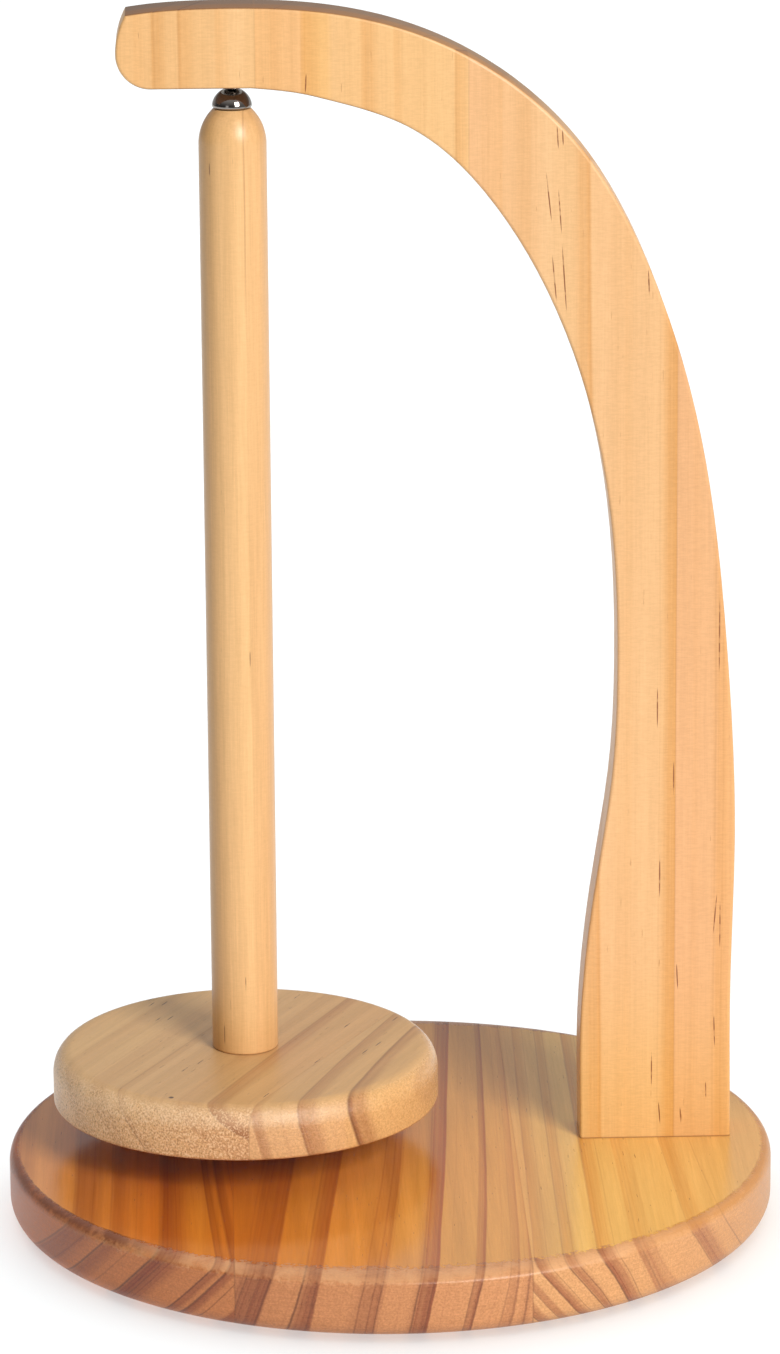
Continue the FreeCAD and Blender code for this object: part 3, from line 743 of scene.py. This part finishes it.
PLATE_LOOK = WOOD_LOOK | dict(
    wave=1.6, line=0.18, line_share=0.55, line_colour=(0.20, 0.085, 0.03),
    broad=(0.93, 1.055), narrow=(0.935, 1.045), hair=(0.95, 1.03),
    fleck=(0.98, 1.015), speck=(0.80, 1.14), turned=(0.95, 1.04),
    cracks=0.35, crack=(0.17, 0.055, 0.02),
    pores=0.004, pore=(0.16, 0.085, 0.045), resin=(0.07, 0.032, 0.018),
    edge_span=(0.12, 0.55), ragged=0.3, band_reach=(15.0, 40.0),
    # The plate's light band over its rounded end grain is partly painted highlight.
    edge_band_and_highlight=0.35, band=(0.74, 0.53, 0.34), band_ring=(0.50, 0.26, 0.12),
    glue=0.25, top_glue=0.15, glue_colour=(0.25, 0.12, 0.05),
    rough=(0.32, 0.46), relief=0.00006,
)
CHIPPED_LOOK = PLATE_LOOK | dict(
    chips=0.62, chip=(0.84, 0.60, 0.36), pit=(0.35, 0.165, 0.062),
    end_relief=4.0, end_rough=(0.22, 0.48),
)
GLOSSY_LOOK = PLATE_LOOK | dict(end_relief=2.8, end_rough=(0.11, 0.28))
POST_LOOK = dict(
    broad=(0.93, 1.05), narrow=(0.94, 1.04), hair=(0.97, 1.02), fleck=(0.97, 1.025),
    pores=-0.025, pore=(0.30, 0.15, 0.06), pore_share=0.5,
    resin=(0.17, 0.065, 0.025), resin_share=0.7, line_colour=(0.42, 0.2, 0.07),
    end_pale=(0.50, 0.28, 0.12), rough=(0.30, 0.42), relief=0.00003,
)


BASE_SIDES = 240
PLATE_SIDES = 192
ROUND_SIDES = 96
POST_STEPS = 24
# How far a sanded surface strays from true.
BOARD_WOBBLE = 0.05 * MM
POST_WOBBLE = 0.03 * MM
# How fast the base's edge changes between its sides and the end grain in front.
EDGE_CHANGE = 6
# Where the base's middle and right rings are measured along the grain, in mm.
BASE_FRONT = -92
MARK_HALF_WIDTH = 0.2


def base_boards(settings):
    """The figure of the three base boards by node, from left to right."""
    low, left_seam = in_mm(BASE_LOW.x), in_mm(LEFT_SEAM)
    right_seam, high = in_mm(RIGHT_SEAM), in_mm(BASE_HIGH.x)
    left = Board(
        pale=tinted(
            settings.pale,
            (low, 0.92, 1.04, 1.5), (-84, 0.93, 0.88, 0.8), (-62, 0.89, 0.61, 0.28),
            (-50, 0.93, 0.77, 0.38), (left_seam, 0.88, 0.62, 0.28),
        ),
        dark=scaled(settings.dark, 0.86, 0.75, 0.6),
        rings=(
            (-98, 6, 0.4), (-81.8, 8, 0.7), (-72, 4.5, 0.65), (-59.8, 8, 0.95), (-46.2, 2.6, 0.7),
            (-42.6, 2.6, 0.85), (-33.5, 5, 0.8),
        ),
        lines=(
            (-82.3, 0.5, 0.7), (-77.5, 0.35, 0.4), (-72.6, 0.55, 0.9), (-66.2, 0.4, 0.4),
            (-60.3, 0.6, 1), (-57.2, 0.4, 0.5), (-46.3, 0.45, 0.8), (-42.8, 0.5, 0.9),
            (-38.6, 0.35, 0.6),
        ),
        leans=((low, 0.74), (-60, 0.84), (left_seam, 0.78)),
        slants=((low, 0), (-59, 0), (-50, -0.05), (left_seam, -0.07)),
        front=-80,
        end_pale=tinted(
            settings.end_pale,
            (low, 0.84, 0.43, 0.1), (-76, 0.96, 0.66, 0.36), (left_seam, 0.98, 0.78, 0.56),
        ),
        end_dark=scaled(settings.end_dark, 0.95, 0.8, 0.8),
    )
    middle = Board(
        pale=tinted(
            settings.pale,
            (left_seam, 0.89, 0.65, 0.3), (-26, 0.93, 0.81, 0.5), (-10, 1, 0.97, 0.81),
            (14, 0.94, 1.13, 1.17), (right_seam, 0.97, 1.2, 1.45),
        ),
        dark=tuple(settings.dark),
        rings=(
            (-31.3, 11, 0.9), (-19.7, 4.4, 0.95), (-3.2, 7.5, 0.6), (9.4, 5.4, 0.95),
            (21, 2.6, 0.7), (29.6, 2.6, 0.35), (33, 2.4, 0.35), (40, 5, 0.6),
        ),
        lines=(
            (-37.6, 0.4, 0.5), (-34.4, 0.35, 0.4), (-31.6, 0.45, 0.7), (-23.6, 0.5, 0.9),
            (-20.2, 0.4, 0.5), (-8.2, 0.4, 0.45), (-5.4, 0.35, 0.4), (-3.6, 0.4, 0.6),
            (5.6, 0.45, 0.7), (9, 0.4, 0.5), (18.9, 0.4, 0.55), (20.9, 0.4, 0.6),
            (27.4, 0.35, 0.35), (29.4, 0.4, 0.4), (32.2, 0.4, 0.55),
        ),
        leans=(
            (left_seam, 0.36), (-31, 0.34), (-22, 0.2), (10, 0.23), (21, 0.26), (28, 0.15),
            (right_seam, 0.12),
        ),
        slants=(
            (left_seam, 0.05), (-31, 0.078), (-3, 0.083), (11, 0.057), (23, 0.049),
            (right_seam, 0.02),
        ),
        front=BASE_FRONT,
        fade_side=-1,
        end_pale=tinted(
            settings.end_pale,
            (left_seam, 0.99, 0.84, 0.68), (-5, 1.02, 0.96, 0.84), (right_seam, 1.09, 1.09, 0.98),
        ),
        end_dark=tuple(settings.end_dark),
    )
    right = Board(
        pale=tinted(
            settings.pale,
            (right_seam, 0.99, 1.29, 1.8), (46, 1.12, 1.76, 2.65), (70, 1.1, 1.66, 2.5),
            (high, 1.02, 1.46, 2.25),
        ),
        dark=scaled(settings.dark, 1.62, 3.2, 5.2),
        rings=(
            (16.5, 3, 0.7), (22.6, 3, 0.8), (28, 2.4, 0.7), (33.4, 3, 0.8), (40.8, 3.4, 0.75),
            (49.6, 4.5, 0.95), (59.2, 6, 0.55), (75.4, 6.5, 0.7), (86.8, 6, 0.7), (97, 6, 0.5),
        ),
        lines=(
            (22.2, 0.4, 0.8), (27.6, 0.35, 0.6), (33.2, 0.45, 0.7), (36.4, 0.3, 0.4),
            (40.4, 0.45, 0.8), (43, 0.35, 0.6), (49.3, 0.55, 0.9), (54, 0.35, 0.5),
            (60.4, 0.4, 0.4), (75, 0.4, 0.5), (86.4, 0.4, 0.5),
        ),
        leans=(
            (right_seam, -0.78), (50, -0.74), (60, -0.5), (66, -0.45), (75, -0.62), (high, -0.62),
        ),
        slants=((right_seam, 0.02), (50, 0), (60, -0.02), (72, -0.06), (85, -0.13), (high, -0.15)),
        front=BASE_FRONT,
        end_pale=tinted(
            settings.end_pale,
            (right_seam, 1.18, 1.32, 1.2), (75, 1.16, 1.25, 1.05), (high, 1.1, 1.13, 0.8),
        ),
        end_dark=scaled(settings.end_dark, 1.25, 1.45, 1.4),
    )
    return {
        "base_board_left": left,
        "base_board_middle": middle,
        "base_board_right": right,
    }


class YARN_OT_base(bpy.types.Operator):
    """Build the three glued boards of the round base"""

    bl_idname = "yarn_holder.base"
    bl_label = "Base boards"

    def execute(self, context):
        settings = context.scene.yarn_holder_base
        look = {**BASE_LOOK, "band": tuple(settings.sanded), "stain": tuple(settings.stain)}
        wider = settings.front_reach - settings.side_reach
        deeper = settings.front_drop - settings.side_drop

        def profile(angle):
            end_grain = abs(math.sin(angle)) ** EDGE_CHANGE
            reach = settings.side_reach + wider * end_grain
            drop = settings.side_drop + deeper * end_grain
            return disc_profile(
                BASE_RADIUS, BASE_LOW.z, BASE_HIGH.z, settings.bottom_round, reach, drop
            )

        cuts = ((None, LEFT_SEAM), (LEFT_SEAM, RIGHT_SEAM), (RIGHT_SEAM, None))
        seams = (in_mm(LEFT_SEAM), in_mm(RIGHT_SEAM))
        for (node, board), (low, high) in zip(base_boards(settings).items(), cuts):
            shape = lathe(profile, BASE_SIDES, BOARD_WOBBLE)
            if low is not None:
                saw(shape, ACROSS_X * low, -ACROSS_X, settings.glue_ease)
            if high is not None:
                saw(shape, ACROSS_X * high, ACROSS_X, settings.glue_ease)
            material = board_wood(
                node + "_wood", board, look, "Y", in_mm(BASE_HIGH.z), seams=seams
            )
            finish_piece(shape, node + "_turned", "stand", material, (node,))
        return {"FINISHED"}


def arm_boards(settings):
    """The figure of the four arm boards by node."""
    front = in_mm(ARM_LOW.y)
    low, high = in_mm(ARM_LOW.x), in_mm(ARM_HIGH.x)
    tip_seam, crown_seam, edge_seam = in_mm(TIP_SEAM), in_mm(CROWN_SEAM), in_mm(EDGE_SEAM)
    shared = {
        "dark": tuple(settings.ring),
        "end_pale": tinted(
            settings.end_grain,
            (low, 0.6, 0.57, 0.58), (tip_seam, 0.7, 0.67, 0.68), (0, 0.86, 0.85, 0.85),
            (crown_seam, 1.08, 1.08, 1.05), (high, 1.15, 1.15, 1.08),
        ),
        "end_dark": scaled(settings.end_grain, 0.7, 0.62, 0.6),
    }

    def mark(x, start, end, slant=0):
        return (x, front, (start + end) / 2, MARK_HALF_WIDTH, (end - start) / 2, slant)

    tip = Board(
        pale=tinted(
            settings.tip,
            (low, 1, 0.98, 0.95), (-52, 0.99, 0.98, 0.97), (-45, 1, 1, 1), (-38, 1.04, 1.07, 1.14),
            (-35, 1.04, 1.07, 1.14), (tip_seam, 1, 1.01, 1.02),
        ),
        rings=((-62, 3, 0.2), (-57.5, 4, 0.55), (-50.8, 4.5, 0.45), (-41.5, 3.5, 0.32)),
        lines=((-50.8, 0.6, 0.6), (-57, 0.5, 0.4)),
        leans=0.5,
        **shared,
    )
    crown = Board(
        pale=tinted(
            settings.crown,
            (tip_seam, 1, 0.97, 0.93), (-20.6, 1, 0.98, 0.98), (-19.4, 1, 0.97, 0.8),
            (-14, 1, 1, 0.88), (-12.4, 1.02, 1.07, 1.12), (-5.6, 1.01, 1.04, 1.05),
            (12, 1.02, 1.07, 1.1), (crown_seam, 1.03, 1.09, 1.15),
        ),
        rings=((-28, 3, 0.18), (-20.2, 5, 0.5), (-5, 4.5, 0.52), (3, 2.5, 0.28), (18.3, 3.4, 0.5)),
        lines=((18.4, 0.5, 0.45), (-27, 0.4, 0.25), (10.5, 0.4, 0.25)),
        leans=0.4,
        marks=(mark(-19.2, 296, 301.5, 0.05),),
        **shared,
    )
    column = Board(
        pale=tinted(
            settings.column,
            (crown_seam, 1, 0.97, 0.97), (38, 1, 1, 1), (41, 1.02, 1.06, 1.1), (47, 1, 1.02, 1),
            (54.5, 1, 1, 1), (69.5, 1, 1, 0.98), (edge_seam, 1, 0.98, 0.9),
        ),
        rings=((30, 6, 0.2), (37, 5, 0.2), (53.4, 5, 0.62), (63, 6, 0.15), (74.9, 4.6, 0.9)),
        lines=((53.2, 0.45, 0.35), (70.2, 0.35, 0.3)),
        leans=0.2,
        slants=((crown_seam, 0), (45, 0), (53.5, -0.018), (62, 0), (edge_seam, 0)),
        front=180,
        fade_side=-1,
        marks=(
            mark(43.9, 281, 287.6, -0.06), mark(45.2, 282, 286.5, -0.05),
            mark(41.7, 262, 276, -0.107), mark(44.5, 259, 271.5, -0.07),
            mark(45.6, 238.2, 257.8, -0.065), mark(43.1, 241, 254.8, -0.09),
            mark(67, 243, 250.6, -0.04), mark(68.6, 31, 41.8), mark(70.7, 21, 27.8, -0.07),
            mark(69.7, 129, 141), mark(74, 111, 121), mark(70.5, 83, 96),
        ),
        **shared,
    )
    edge = Board(
        pale=tinted(
            settings.edge,
            (edge_seam, 1, 0.99, 1), (83.6, 1, 1, 1), (85.6, 1, 0.96, 0.86), (high, 1, 0.96, 0.82),
        ),
        rings=((78.8, 2.4, 0.1), (85.4, 3, 0.3)),
        lines=((84.6, 0.45, 0.45), (86.6, 0.35, 0.35)),
        leans=0.1,
        marks=(
            mark(75.2, 58, 66, -0.05), mark(76.3, 21, 26, -0.06), mark(82.9, 28, 33, -0.03),
            mark(85, 42, 52, -0.03), mark(85, 73, 85, 0.08), mark(86.3, 69, 83),
            mark(85.6, 143, 165),
        ),
        **shared,
    )
    return {
        "arm_board_tip": tip,
        "arm_board_crown": crown,
        "arm_board_column": column,
        "arm_board_edge": edge,
    }


class YARN_OT_arm(bpy.types.Operator):
    """Finish the four glued boards of the arched arm"""

    bl_idname = "yarn_holder.arm"
    bl_label = "Arm boards"

    def execute(self, context):
        seams = (in_mm(TIP_SEAM), in_mm(CROWN_SEAM), in_mm(EDGE_SEAM))
        for node, board in arm_boards(context.scene.yarn_holder_arm).items():
            name = node + "_wood"
            dress(node, board_wood(name, board, ARM_LOOK, "Z", in_mm(ARM_LOW.y), seams=seams))
        return {"FINISHED"}


def plate_marks():
    """Short dark dashes along the plate's grain, and one small knot."""
    top = in_mm(PLATE_HIGH.z)
    half_width, half_length, slant = 0.17, 2.3, 0.03
    spots = (
        (-26.8, 35), (-17.5, 25), (-31.5, 15), (-31, 8), (-23, -4), (-22.7, -33), (4.5, -17),
        (5.5, -24), (28, 11), (30.5, 9), (35, 21), (37.8, 18.8), (40, 23), (-36, -33), (-37, -42),
        (5.2, 41),
    )
    knot = (-1.3, top, -44.7, 0.8, 0.9, 0.0)
    dashes = ((across, top, along, half_width, half_length, slant) for across, along in spots)
    return (*dashes, knot)


def plate_boards(settings, seam, radius):
    """The figure of the plate's wide and narrow board, which meet at the seam, in mm."""
    shared = {
        "dark": tuple(settings.plate_ring),
        "end_dark": tuple(settings.plate_end_ring),
        "fade_side": -1,
        "marks": plate_marks(),
    }
    wide = Board(
        pale=tinted(
            settings.plate,
            (seam, 1, 0.95, 0.9), (-9, 1, 0.97, 0.93), (8, 1.02, 1.02, 1.02),
            (radius, 1.09, 1.13, 1.1),
        ),
        rings=(
            (-9.8, 4.6, 0.75), (-2, 6, 0.18), (14.5, 2.4, 0.28), (24, 7, 0.22), (36, 7, 0.22),
            (47, 7, 0.22),
        ),
        lines=((-9.6, 0.45, 0.5), (14.4, 0.4, 0.35)),
        leans=((seam, 1.2), (-13, 1), (5, 0.75), (radius, 0.6)),
        slants=((seam, 0.09), (-8, 0.045), (10, 0.02), (radius, 0)),
        end_pale=tinted(
            settings.plate_end,
            (seam, 1, 0.93, 0.87), (10, 1.11, 1.1, 1.04), (radius, 1.16, 1.14, 1.04),
        ),
        **shared,
    )
    gold = (1.08, 1.04, 0.87)
    narrow = Board(
        pale=tinted(
            settings.plate,
            (-radius, 1.08, 1.06, 0.95), (-40, 1.04, 1.02, 0.94), (seam, 1, 0.99, 0.96),
        ),
        rings=((-19.6, 2.2, 0.6), (-28.5, 4.4, 0.65), (-38.2, 4.2, 0.75), (-49, 4, 0.15)),
        lines=((-28.4, 0.45, 0.6), (-38.1, 0.6, 1)),
        leans=0.21,
        slants=((-radius, 0.17), (-40, 0.15), (-30, 0.115), (seam, 0.09)),
        end_pale=tinted(
            settings.plate_end,
            (-radius, *gold), (-43.5, *gold), (-42, 1.05, 1, 0.92), (seam, 1.05, 1.02, 1),
        ),
        **shared,
    )
    return wide, narrow


def glue_line_distance(node, outward):
    """How far a board reaches from the spindle's axis along a direction."""
    return max((vertex.co - AXIS).dot(outward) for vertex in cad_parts[node].data.vertices)


class YARN_OT_plate(bpy.types.Operator):
    """Build the two glued boards of the spindle's round plate"""

    bl_idname = "yarn_holder.plate"
    bl_label = "Plate boards"

    def execute(self, context):
        settings = context.scene.yarn_holder_spindle
        outward = Vector((math.sin(PLATE_GRAIN), -math.cos(PLATE_GRAIN), 0.0))
        seam = glue_line_distance("plate_board_wide", outward)
        seam_mm = -in_mm(seam)
        wide, narrow = plate_boards(settings, seam_mm, in_mm(PLATE_RADIUS))
        rounding = (settings.plate_bottom_round, settings.plate_reach, settings.plate_drop)
        outline = disc_profile(PLATE_RADIUS, PLATE_LOW.z, PLATE_HIGH.z, *rounding)
        for node, board, side, look in (
            ("plate_board_wide", wide, 1.0, CHIPPED_LOOK),
            ("plate_board_narrow", narrow, -1.0, GLOSSY_LOOK),
        ):
            shape = lathe(lambda angle: outline, PLATE_SIDES, BOARD_WOBBLE)
            saw(shape, outward * seam, outward * side, settings.glue_ease)
            name, top = node + "_wood", in_mm(PLATE_HIGH.z)
            material = board_wood(name, board, look, "X", top, PLATE_GRAIN, AXIS, (seam_mm,))
            name = node + "_turned"
            finish_piece(shape, name, "spindle", material, (node,), AXIS)
        return {"FINISHED"}


# The line between the post's two tones, and the part of its height where it shows most.
POST_LINE = 2.8
LINE_HEIGHTS = (225.0, 262.0)


def post_marks():
    """Short dark dashes along the post, each (across, along, half length)."""
    dashes = ((-5.9, 277, 2), (-5.4, 48, 4), (0.3, 62.4, 2.2), (2.6, 150, 2.6))
    radius = in_mm(POST_RADIUS)
    return tuple(
        (across, -math.sqrt(radius**2 - across**2), along, 0.16, half_length, 0.0)
        for across, along, half_length in dashes
    )


def post_material(settings):
    """Satin wood of the post: two tones that meet in a line along it, with faint streaks, and
    painted shade that darkens its left flank.
    """
    look = POST_LOOK
    tree = Tree(bpy.data.materials.new("post_wood_satin"))
    spot = board_space(tree, "Z", centre=AXIS)
    swaying = tree.plus(spot.across, tree.noise(spot.place, SWAY, around=1.4))
    radius = in_mm(POST_RADIUS)
    # The first tone darkens towards the left flank: painted shade of the side turned away from the
    # key light.
    left = tinted(
        settings.post_left,
        (-radius, 0.77, 0.71, 0.62), (-6.6, 0.83, 0.78, 0.68), (-3.2, 0.99, 0.98, 0.96),
        (radius, 1, 1, 1),
    )
    on_right = tree.span(swaying, POST_LINE - 0.2, POST_LINE + 0.3)
    colour = tree.mix(on_right, tree.ramp(spot.across, left), settings.post_right)
    line = tree.near(swaying, POST_LINE, 0.34, 0.08)
    line = tree.times(line, tree.span(spot.along, *LINE_HEIGHTS, 0.15, 1.0))
    colour = tree.paint(colour, look["line_colour"], line, 0.5)
    colour, narrow, hair, pores = streaked(tree, look, spot, colour, post_marks())
    colour = tree.paint(colour, look["end_pale"], tree.span(spot.end, 0.6, 0.95), 0.5)
    rough = tree.span(narrow, *NOISE_REACH, *look["rough"])
    return tree.finish(colour, rough, narrow, look["relief"])


class YARN_OT_post(bpy.types.Operator):
    """Build the round post with its rounded shoulder"""

    bl_idname = "yarn_holder.post"
    bl_label = "Post"

    def execute(self, context):
        settings = context.scene.yarn_holder_spindle
        foot = settings.post_foot
        shoulder = settings.shoulder
        drawn_in = POST_RADIUS - settings.post_flat
        swing = (shoulder**2 + drawn_in**2) / (2 * drawn_in)
        sweep = math.degrees(math.asin(shoulder / swing))
        low, high = POST_LOW.z, POST_HIGH.z
        straight = high - shoulder
        outline = [(0.0, low, 3.0), (POST_RADIUS - foot * 2, low, 3.0)]
        outline += bend(POST_RADIUS - foot, low + foot, foot, foot, -90, 0, 3.0, 2.0, steps=4)
        for number in range(1, POST_STEPS):
            height = low + foot + (straight - low - foot) * number / POST_STEPS
            outline.append((POST_RADIUS, height, 1.0))
        outline += bend(POST_RADIUS - swing, straight, swing, swing, 0, sweep, 1.0, 0.0, steps=14)
        outline += [(settings.post_flat - 0.3 * MM, high, 0.0), (0.0, high, 0.0)]
        shape = lathe(lambda angle: outline, ROUND_SIDES, POST_WOBBLE)
        material = post_material(settings)
        finish_piece(shape, "post_turned", "spindle", material, ("post",), AXIS)
        return {"FINISHED"}


STEEL_RELIEF = 0.004 * MM
RUBBER_RELIEF = 0.08 * MM


def polished_steel(name, colour, rough):
    """Polished or plated steel with turning marks and a little wear."""
    tree = Tree(bpy.data.materials.new(name))
    place = tree.vector("MULTIPLY", tree.coordinates["Object"], TO_MM)
    rings = tree.noise(place, (0.2, 0.2, 9.0))
    blotch = tree.noise(place, (0.6, 0.6, 0.6), 3.0)
    tone = tree.mix(blotch, scaled(colour, 0.86), scaled(colour, 1.08))
    tree.shader["Metallic"].default_value = 1.0
    roughness = tree.span(rings, 0.3, 0.7, rough * 0.7, rough * 1.3)
    return tree.finish(tone, roughness, rings, STEEL_RELIEF)


def matt_rubber(colour):
    """Black rubber with a fine pebble."""
    tree = Tree(bpy.data.materials.new("pad_rubber_matt"))
    place = tree.vector("MULTIPLY", tree.coordinates["Object"], TO_MM)
    pebble = tree.noise(place, (2.0, 2.0, 2.0))
    tone = tree.mix(pebble, scaled(colour, 0.4), colour)
    return tree.finish(tone, tree.span(pebble, *NOISE_REACH, 0.6, 0.85), pebble, RUBBER_RELIEF)


# The stud's head below its dome: (share of its radius, mm above the underside).
HEAD_EDGE = ((0.86, 0.0), (0.905, 0.03), (0.96, 0.25), (0.99, 0.5))


class YARN_OT_hardware(bpy.types.Operator):
    """Build the domed stud and finish the magnet, screws and pads"""

    bl_idname = "yarn_holder.hardware"
    bl_label = "Stud, magnet, screws and pads"

    def execute(self, context):
        settings = context.scene.yarn_holder_hardware
        head = (STUD_HIGH.x - STUD_LOW.x) / 2
        underside = STUD_LOW.z + settings.shank_length
        dome = STUD_HIGH.z - underside
        start = math.degrees(math.asin(settings.rim / dome))
        outline = [
            (0.0, STUD_LOW.z, 0.0),
            (settings.shank, STUD_LOW.z + settings.shank_point, 0.0),
            (settings.shank, underside, 0.0),
        ]
        outline += [(head * share, underside + above * MM, 0.0) for share, above in HEAD_EDGE]
        outline += bend(0.0, underside, dome, dome, start, 88.0, 0.0, 0.0, steps=28)
        outline += [(0.0, STUD_HIGH.z, 0.0)]
        steel = polished_steel("stud_steel_polished", settings.steel, 0.09)
        shape = lathe(lambda angle: outline, ROUND_SIDES)
        finish_piece(shape, "stud_turned", "stud", steel, ("pivot_stud",), AXIS, 40)
        dress("magnet", polished_steel("magnet_nickel", settings.nickel, 0.2))
        zinc = polished_steel("screw_zinc", settings.zinc, 0.34)
        dress("arm_screws", zinc)
        dress("plate_screw", zinc)
        dress("foot_pads", matt_rubber(settings.rubber))
        return {"FINISHED"}


def add_light(kind, name, place, target, power, colour, **sizes):
    """A soft light that faces a point. sizes are those of its face or its cone."""
    light = bpy.data.lights.new(name, kind)
    light.energy = power
    light.color = colour
    for setting, value in sizes.items():
        setattr(light, setting, value)
    lamp = bpy.data.objects.new(name, light)
    lamp.location = place
    lamp.rotation_euler = (Vector(target) - Vector(place)).to_track_quat("-Z", "Y").to_euler()
    bpy.context.scene.collection.objects.link(lamp)
    return lamp


def linked_to_floor(name, floor, state):
    """A collection that takes in only the floor, or everything but the floor."""
    collection = bpy.data.collections.new(name)
    collection.objects.link(floor)
    collection.collection_objects[0].light_linking.link_state = state
    return collection


def make_world(strength):
    """A studio room that lights from above, less from the left and more from behind, and
    shows itself as plain white."""
    world = bpy.data.worlds.new("studio")
    room = Tree(world, "Background")
    x, y, z = room.split(room.coordinates["Generated"])
    above = room.span(z, 0.2, 0.9, 0.0, 0.62)
    behind = room.span(y, 0.1, 0.8, 0.08, 0.60)
    right = room.span(x, 0.0, 0.9, 0.0, 0.2)
    total = room.plus(room.plus(above, behind), right)
    seen = room.add("ShaderNodeLightPath")["Is Camera Ray"]
    room.feed(room.shader["Strength"], room.math("MAXIMUM", total, seen))
    room.shader["Color"].default_value = (strength, strength, strength, 1.0)
    bpy.context.scene.world = world


def make_floor(settings):
    """A wide pale floor, just under the pads."""
    shape = bmesh.new()
    bmesh.ops.create_grid(shape, x_segments=8, y_segments=8, size=4.0)
    mesh = bpy.data.meshes.new("floor")
    shape.to_mesh(mesh)
    shape.free()
    tree = Tree(bpy.data.materials.new("floor_paper"))
    cloud = tree.noise(tree.coordinates["Object"], (1.5, 1.5, 1.5))
    paper = tree.mix(cloud, settings.floor_dark, settings.floor_light)
    tree.feed(tree.shader["Base Color"], paper)
    tree.shader["Roughness"].default_value = 0.9
    mesh.materials.append(tree.data)
    floor = bpy.data.objects.new("floor", mesh)
    floor.location = (0.0, 0.0, -0.2 * MM)
    bpy.context.scene.collection.objects.link(floor)
    return floor


def make_camera():
    """The camera at the place and angle that the photograph was taken from."""
    yaw, pitch, roll = CAMERA_YAW, CAMERA_PITCH, CAMERA_ROLL
    ahead = Vector(
        (math.sin(yaw) * math.cos(pitch), math.cos(yaw) * math.cos(pitch), -math.sin(pitch))
    )
    level = Vector((math.cos(yaw), -math.sin(yaw), 0.0))
    down = ahead.cross(level)
    right = level * math.cos(roll) + down * math.sin(roll)
    below = down * math.cos(roll) - level * math.sin(roll)
    data = bpy.data.cameras.new("photograph_camera")
    data.sensor_width = SENSOR
    data.lens = FOCAL_PIXELS * SENSOR / PHOTO_HEIGHT
    data.shift_x = (PHOTO_WIDTH / 2 - AXIS_PIXEL[0]) / PHOTO_HEIGHT
    data.shift_y = (AXIS_PIXEL[1] - PHOTO_HEIGHT / 2) / PHOTO_HEIGHT
    camera = bpy.data.objects.new("photograph_camera", data)
    turn = Matrix((right, -below, -ahead)).transposed()
    camera.matrix_world = Matrix.Translation(CAMERA_PLACE) @ turn.to_4x4()
    bpy.context.scene.collection.objects.link(camera)
    bpy.context.scene.camera = camera


class YARN_OT_stage(bpy.types.Operator):
    """Set the pale floor, the studio lights and the camera"""

    bl_idname = "yarn_holder.stage"
    bl_label = "Floor, lights and camera"

    def execute(self, context):
        settings = context.scene.yarn_holder_stage
        context.scene.view_settings.view_transform = "Standard"
        floor = make_floor(settings)
        make_world(settings.sky)
        middle = (0.0, 0.0, 0.13)
        key = add_light(
            "AREA", "key", (0.95, -1.62, 1.20), middle, settings.key, (1.0, 0.98, 0.95),
            shape="RECTANGLE", size=0.8, size_y=0.8,
        )
        add_light(
            "AREA", "fill", (-0.9, -1.6, 0.5), middle, settings.fill, (0.95, 0.97, 1.0),
            shape="RECTANGLE", size=0.5, size_y=0.8,
        )
        wash = add_light(
            "AREA", "wash", (0.0, 1.4, 4.0), (0.0, 1.4, 0.0), settings.wash, (1.0, 1.0, 1.0),
            shape="RECTANGLE", size=6.0, size_y=5.0,
        )
        foot = add_light(
            "SPOT", "foot", (0.35, -0.75, 0.35), (0.06, -0.01, 0.03), settings.foot,
            (1.0, 0.97, 0.92), spot_size=0.40, spot_blend=1.0, shadow_soft_size=0.08,
        )
        floor_only = linked_to_floor("floor_only", floor, "INCLUDE")
        wash.light_linking.receiver_collection = floor_only
        wash.light_linking.blocker_collection = floor_only
        all_but_floor = linked_to_floor("all_but_floor", floor, "EXCLUDE")
        key.light_linking.receiver_collection = all_but_floor
        foot.light_linking.receiver_collection = all_but_floor
        make_camera()
        return {"FINISHED"}


class YARN_PT_panel(bpy.types.Panel):
    """Lists the steps that dress the yarn holder"""

    bl_idname = "YARN_PT_panel"
    bl_label = "Yarn Holder"
    bl_space_type = "VIEW_3D"
    bl_region_type = "UI"
    bl_category = "Yarn Holder"

    def draw(self, context):
        layout = self.layout
        for step in STEPS:
            layout.operator(step.bl_idname)
        for name in SETTINGS:
            box = layout.box()
            group = getattr(context.scene, name)
            for prop in group.bl_rna.properties:
                if prop.identifier not in ("rna_type", "name"):
                    box.prop(group, prop.identifier)


STEPS = (YARN_OT_stage, YARN_OT_base, YARN_OT_arm, YARN_OT_plate, YARN_OT_post, YARN_OT_hardware)
SETTINGS = {
    "yarn_holder_stage": StageSettings,
    "yarn_holder_base": BaseSettings,
    "yarn_holder_arm": ArmSettings,
    "yarn_holder_spindle": SpindleSettings,
    "yarn_holder_hardware": HardwareSettings,
}


def register():
    for group in SETTINGS.values():
        bpy.utils.register_class(group)
    for step in STEPS:
        bpy.utils.register_class(step)
    bpy.utils.register_class(YARN_PT_panel)
    for name, group in SETTINGS.items():
        setattr(bpy.types.Scene, name, PointerProperty(type=group))


def unregister():
    for name in SETTINGS:
        delattr(bpy.types.Scene, name)
    bpy.utils.unregister_class(YARN_PT_panel)
    for step in reversed(STEPS):
        bpy.utils.unregister_class(step)
    for group in reversed(tuple(SETTINGS.values())):
        bpy.utils.unregister_class(group)


def main():
    """Dresses the whole holder."""
    register()
    bpy.ops.yarn_holder.stage()
    bpy.ops.yarn_holder.base()
    bpy.ops.yarn_holder.arm()
    bpy.ops.yarn_holder.plate()
    bpy.ops.yarn_holder.post()
    bpy.ops.yarn_holder.hardware()


if __name__ == "__main__":
    main()
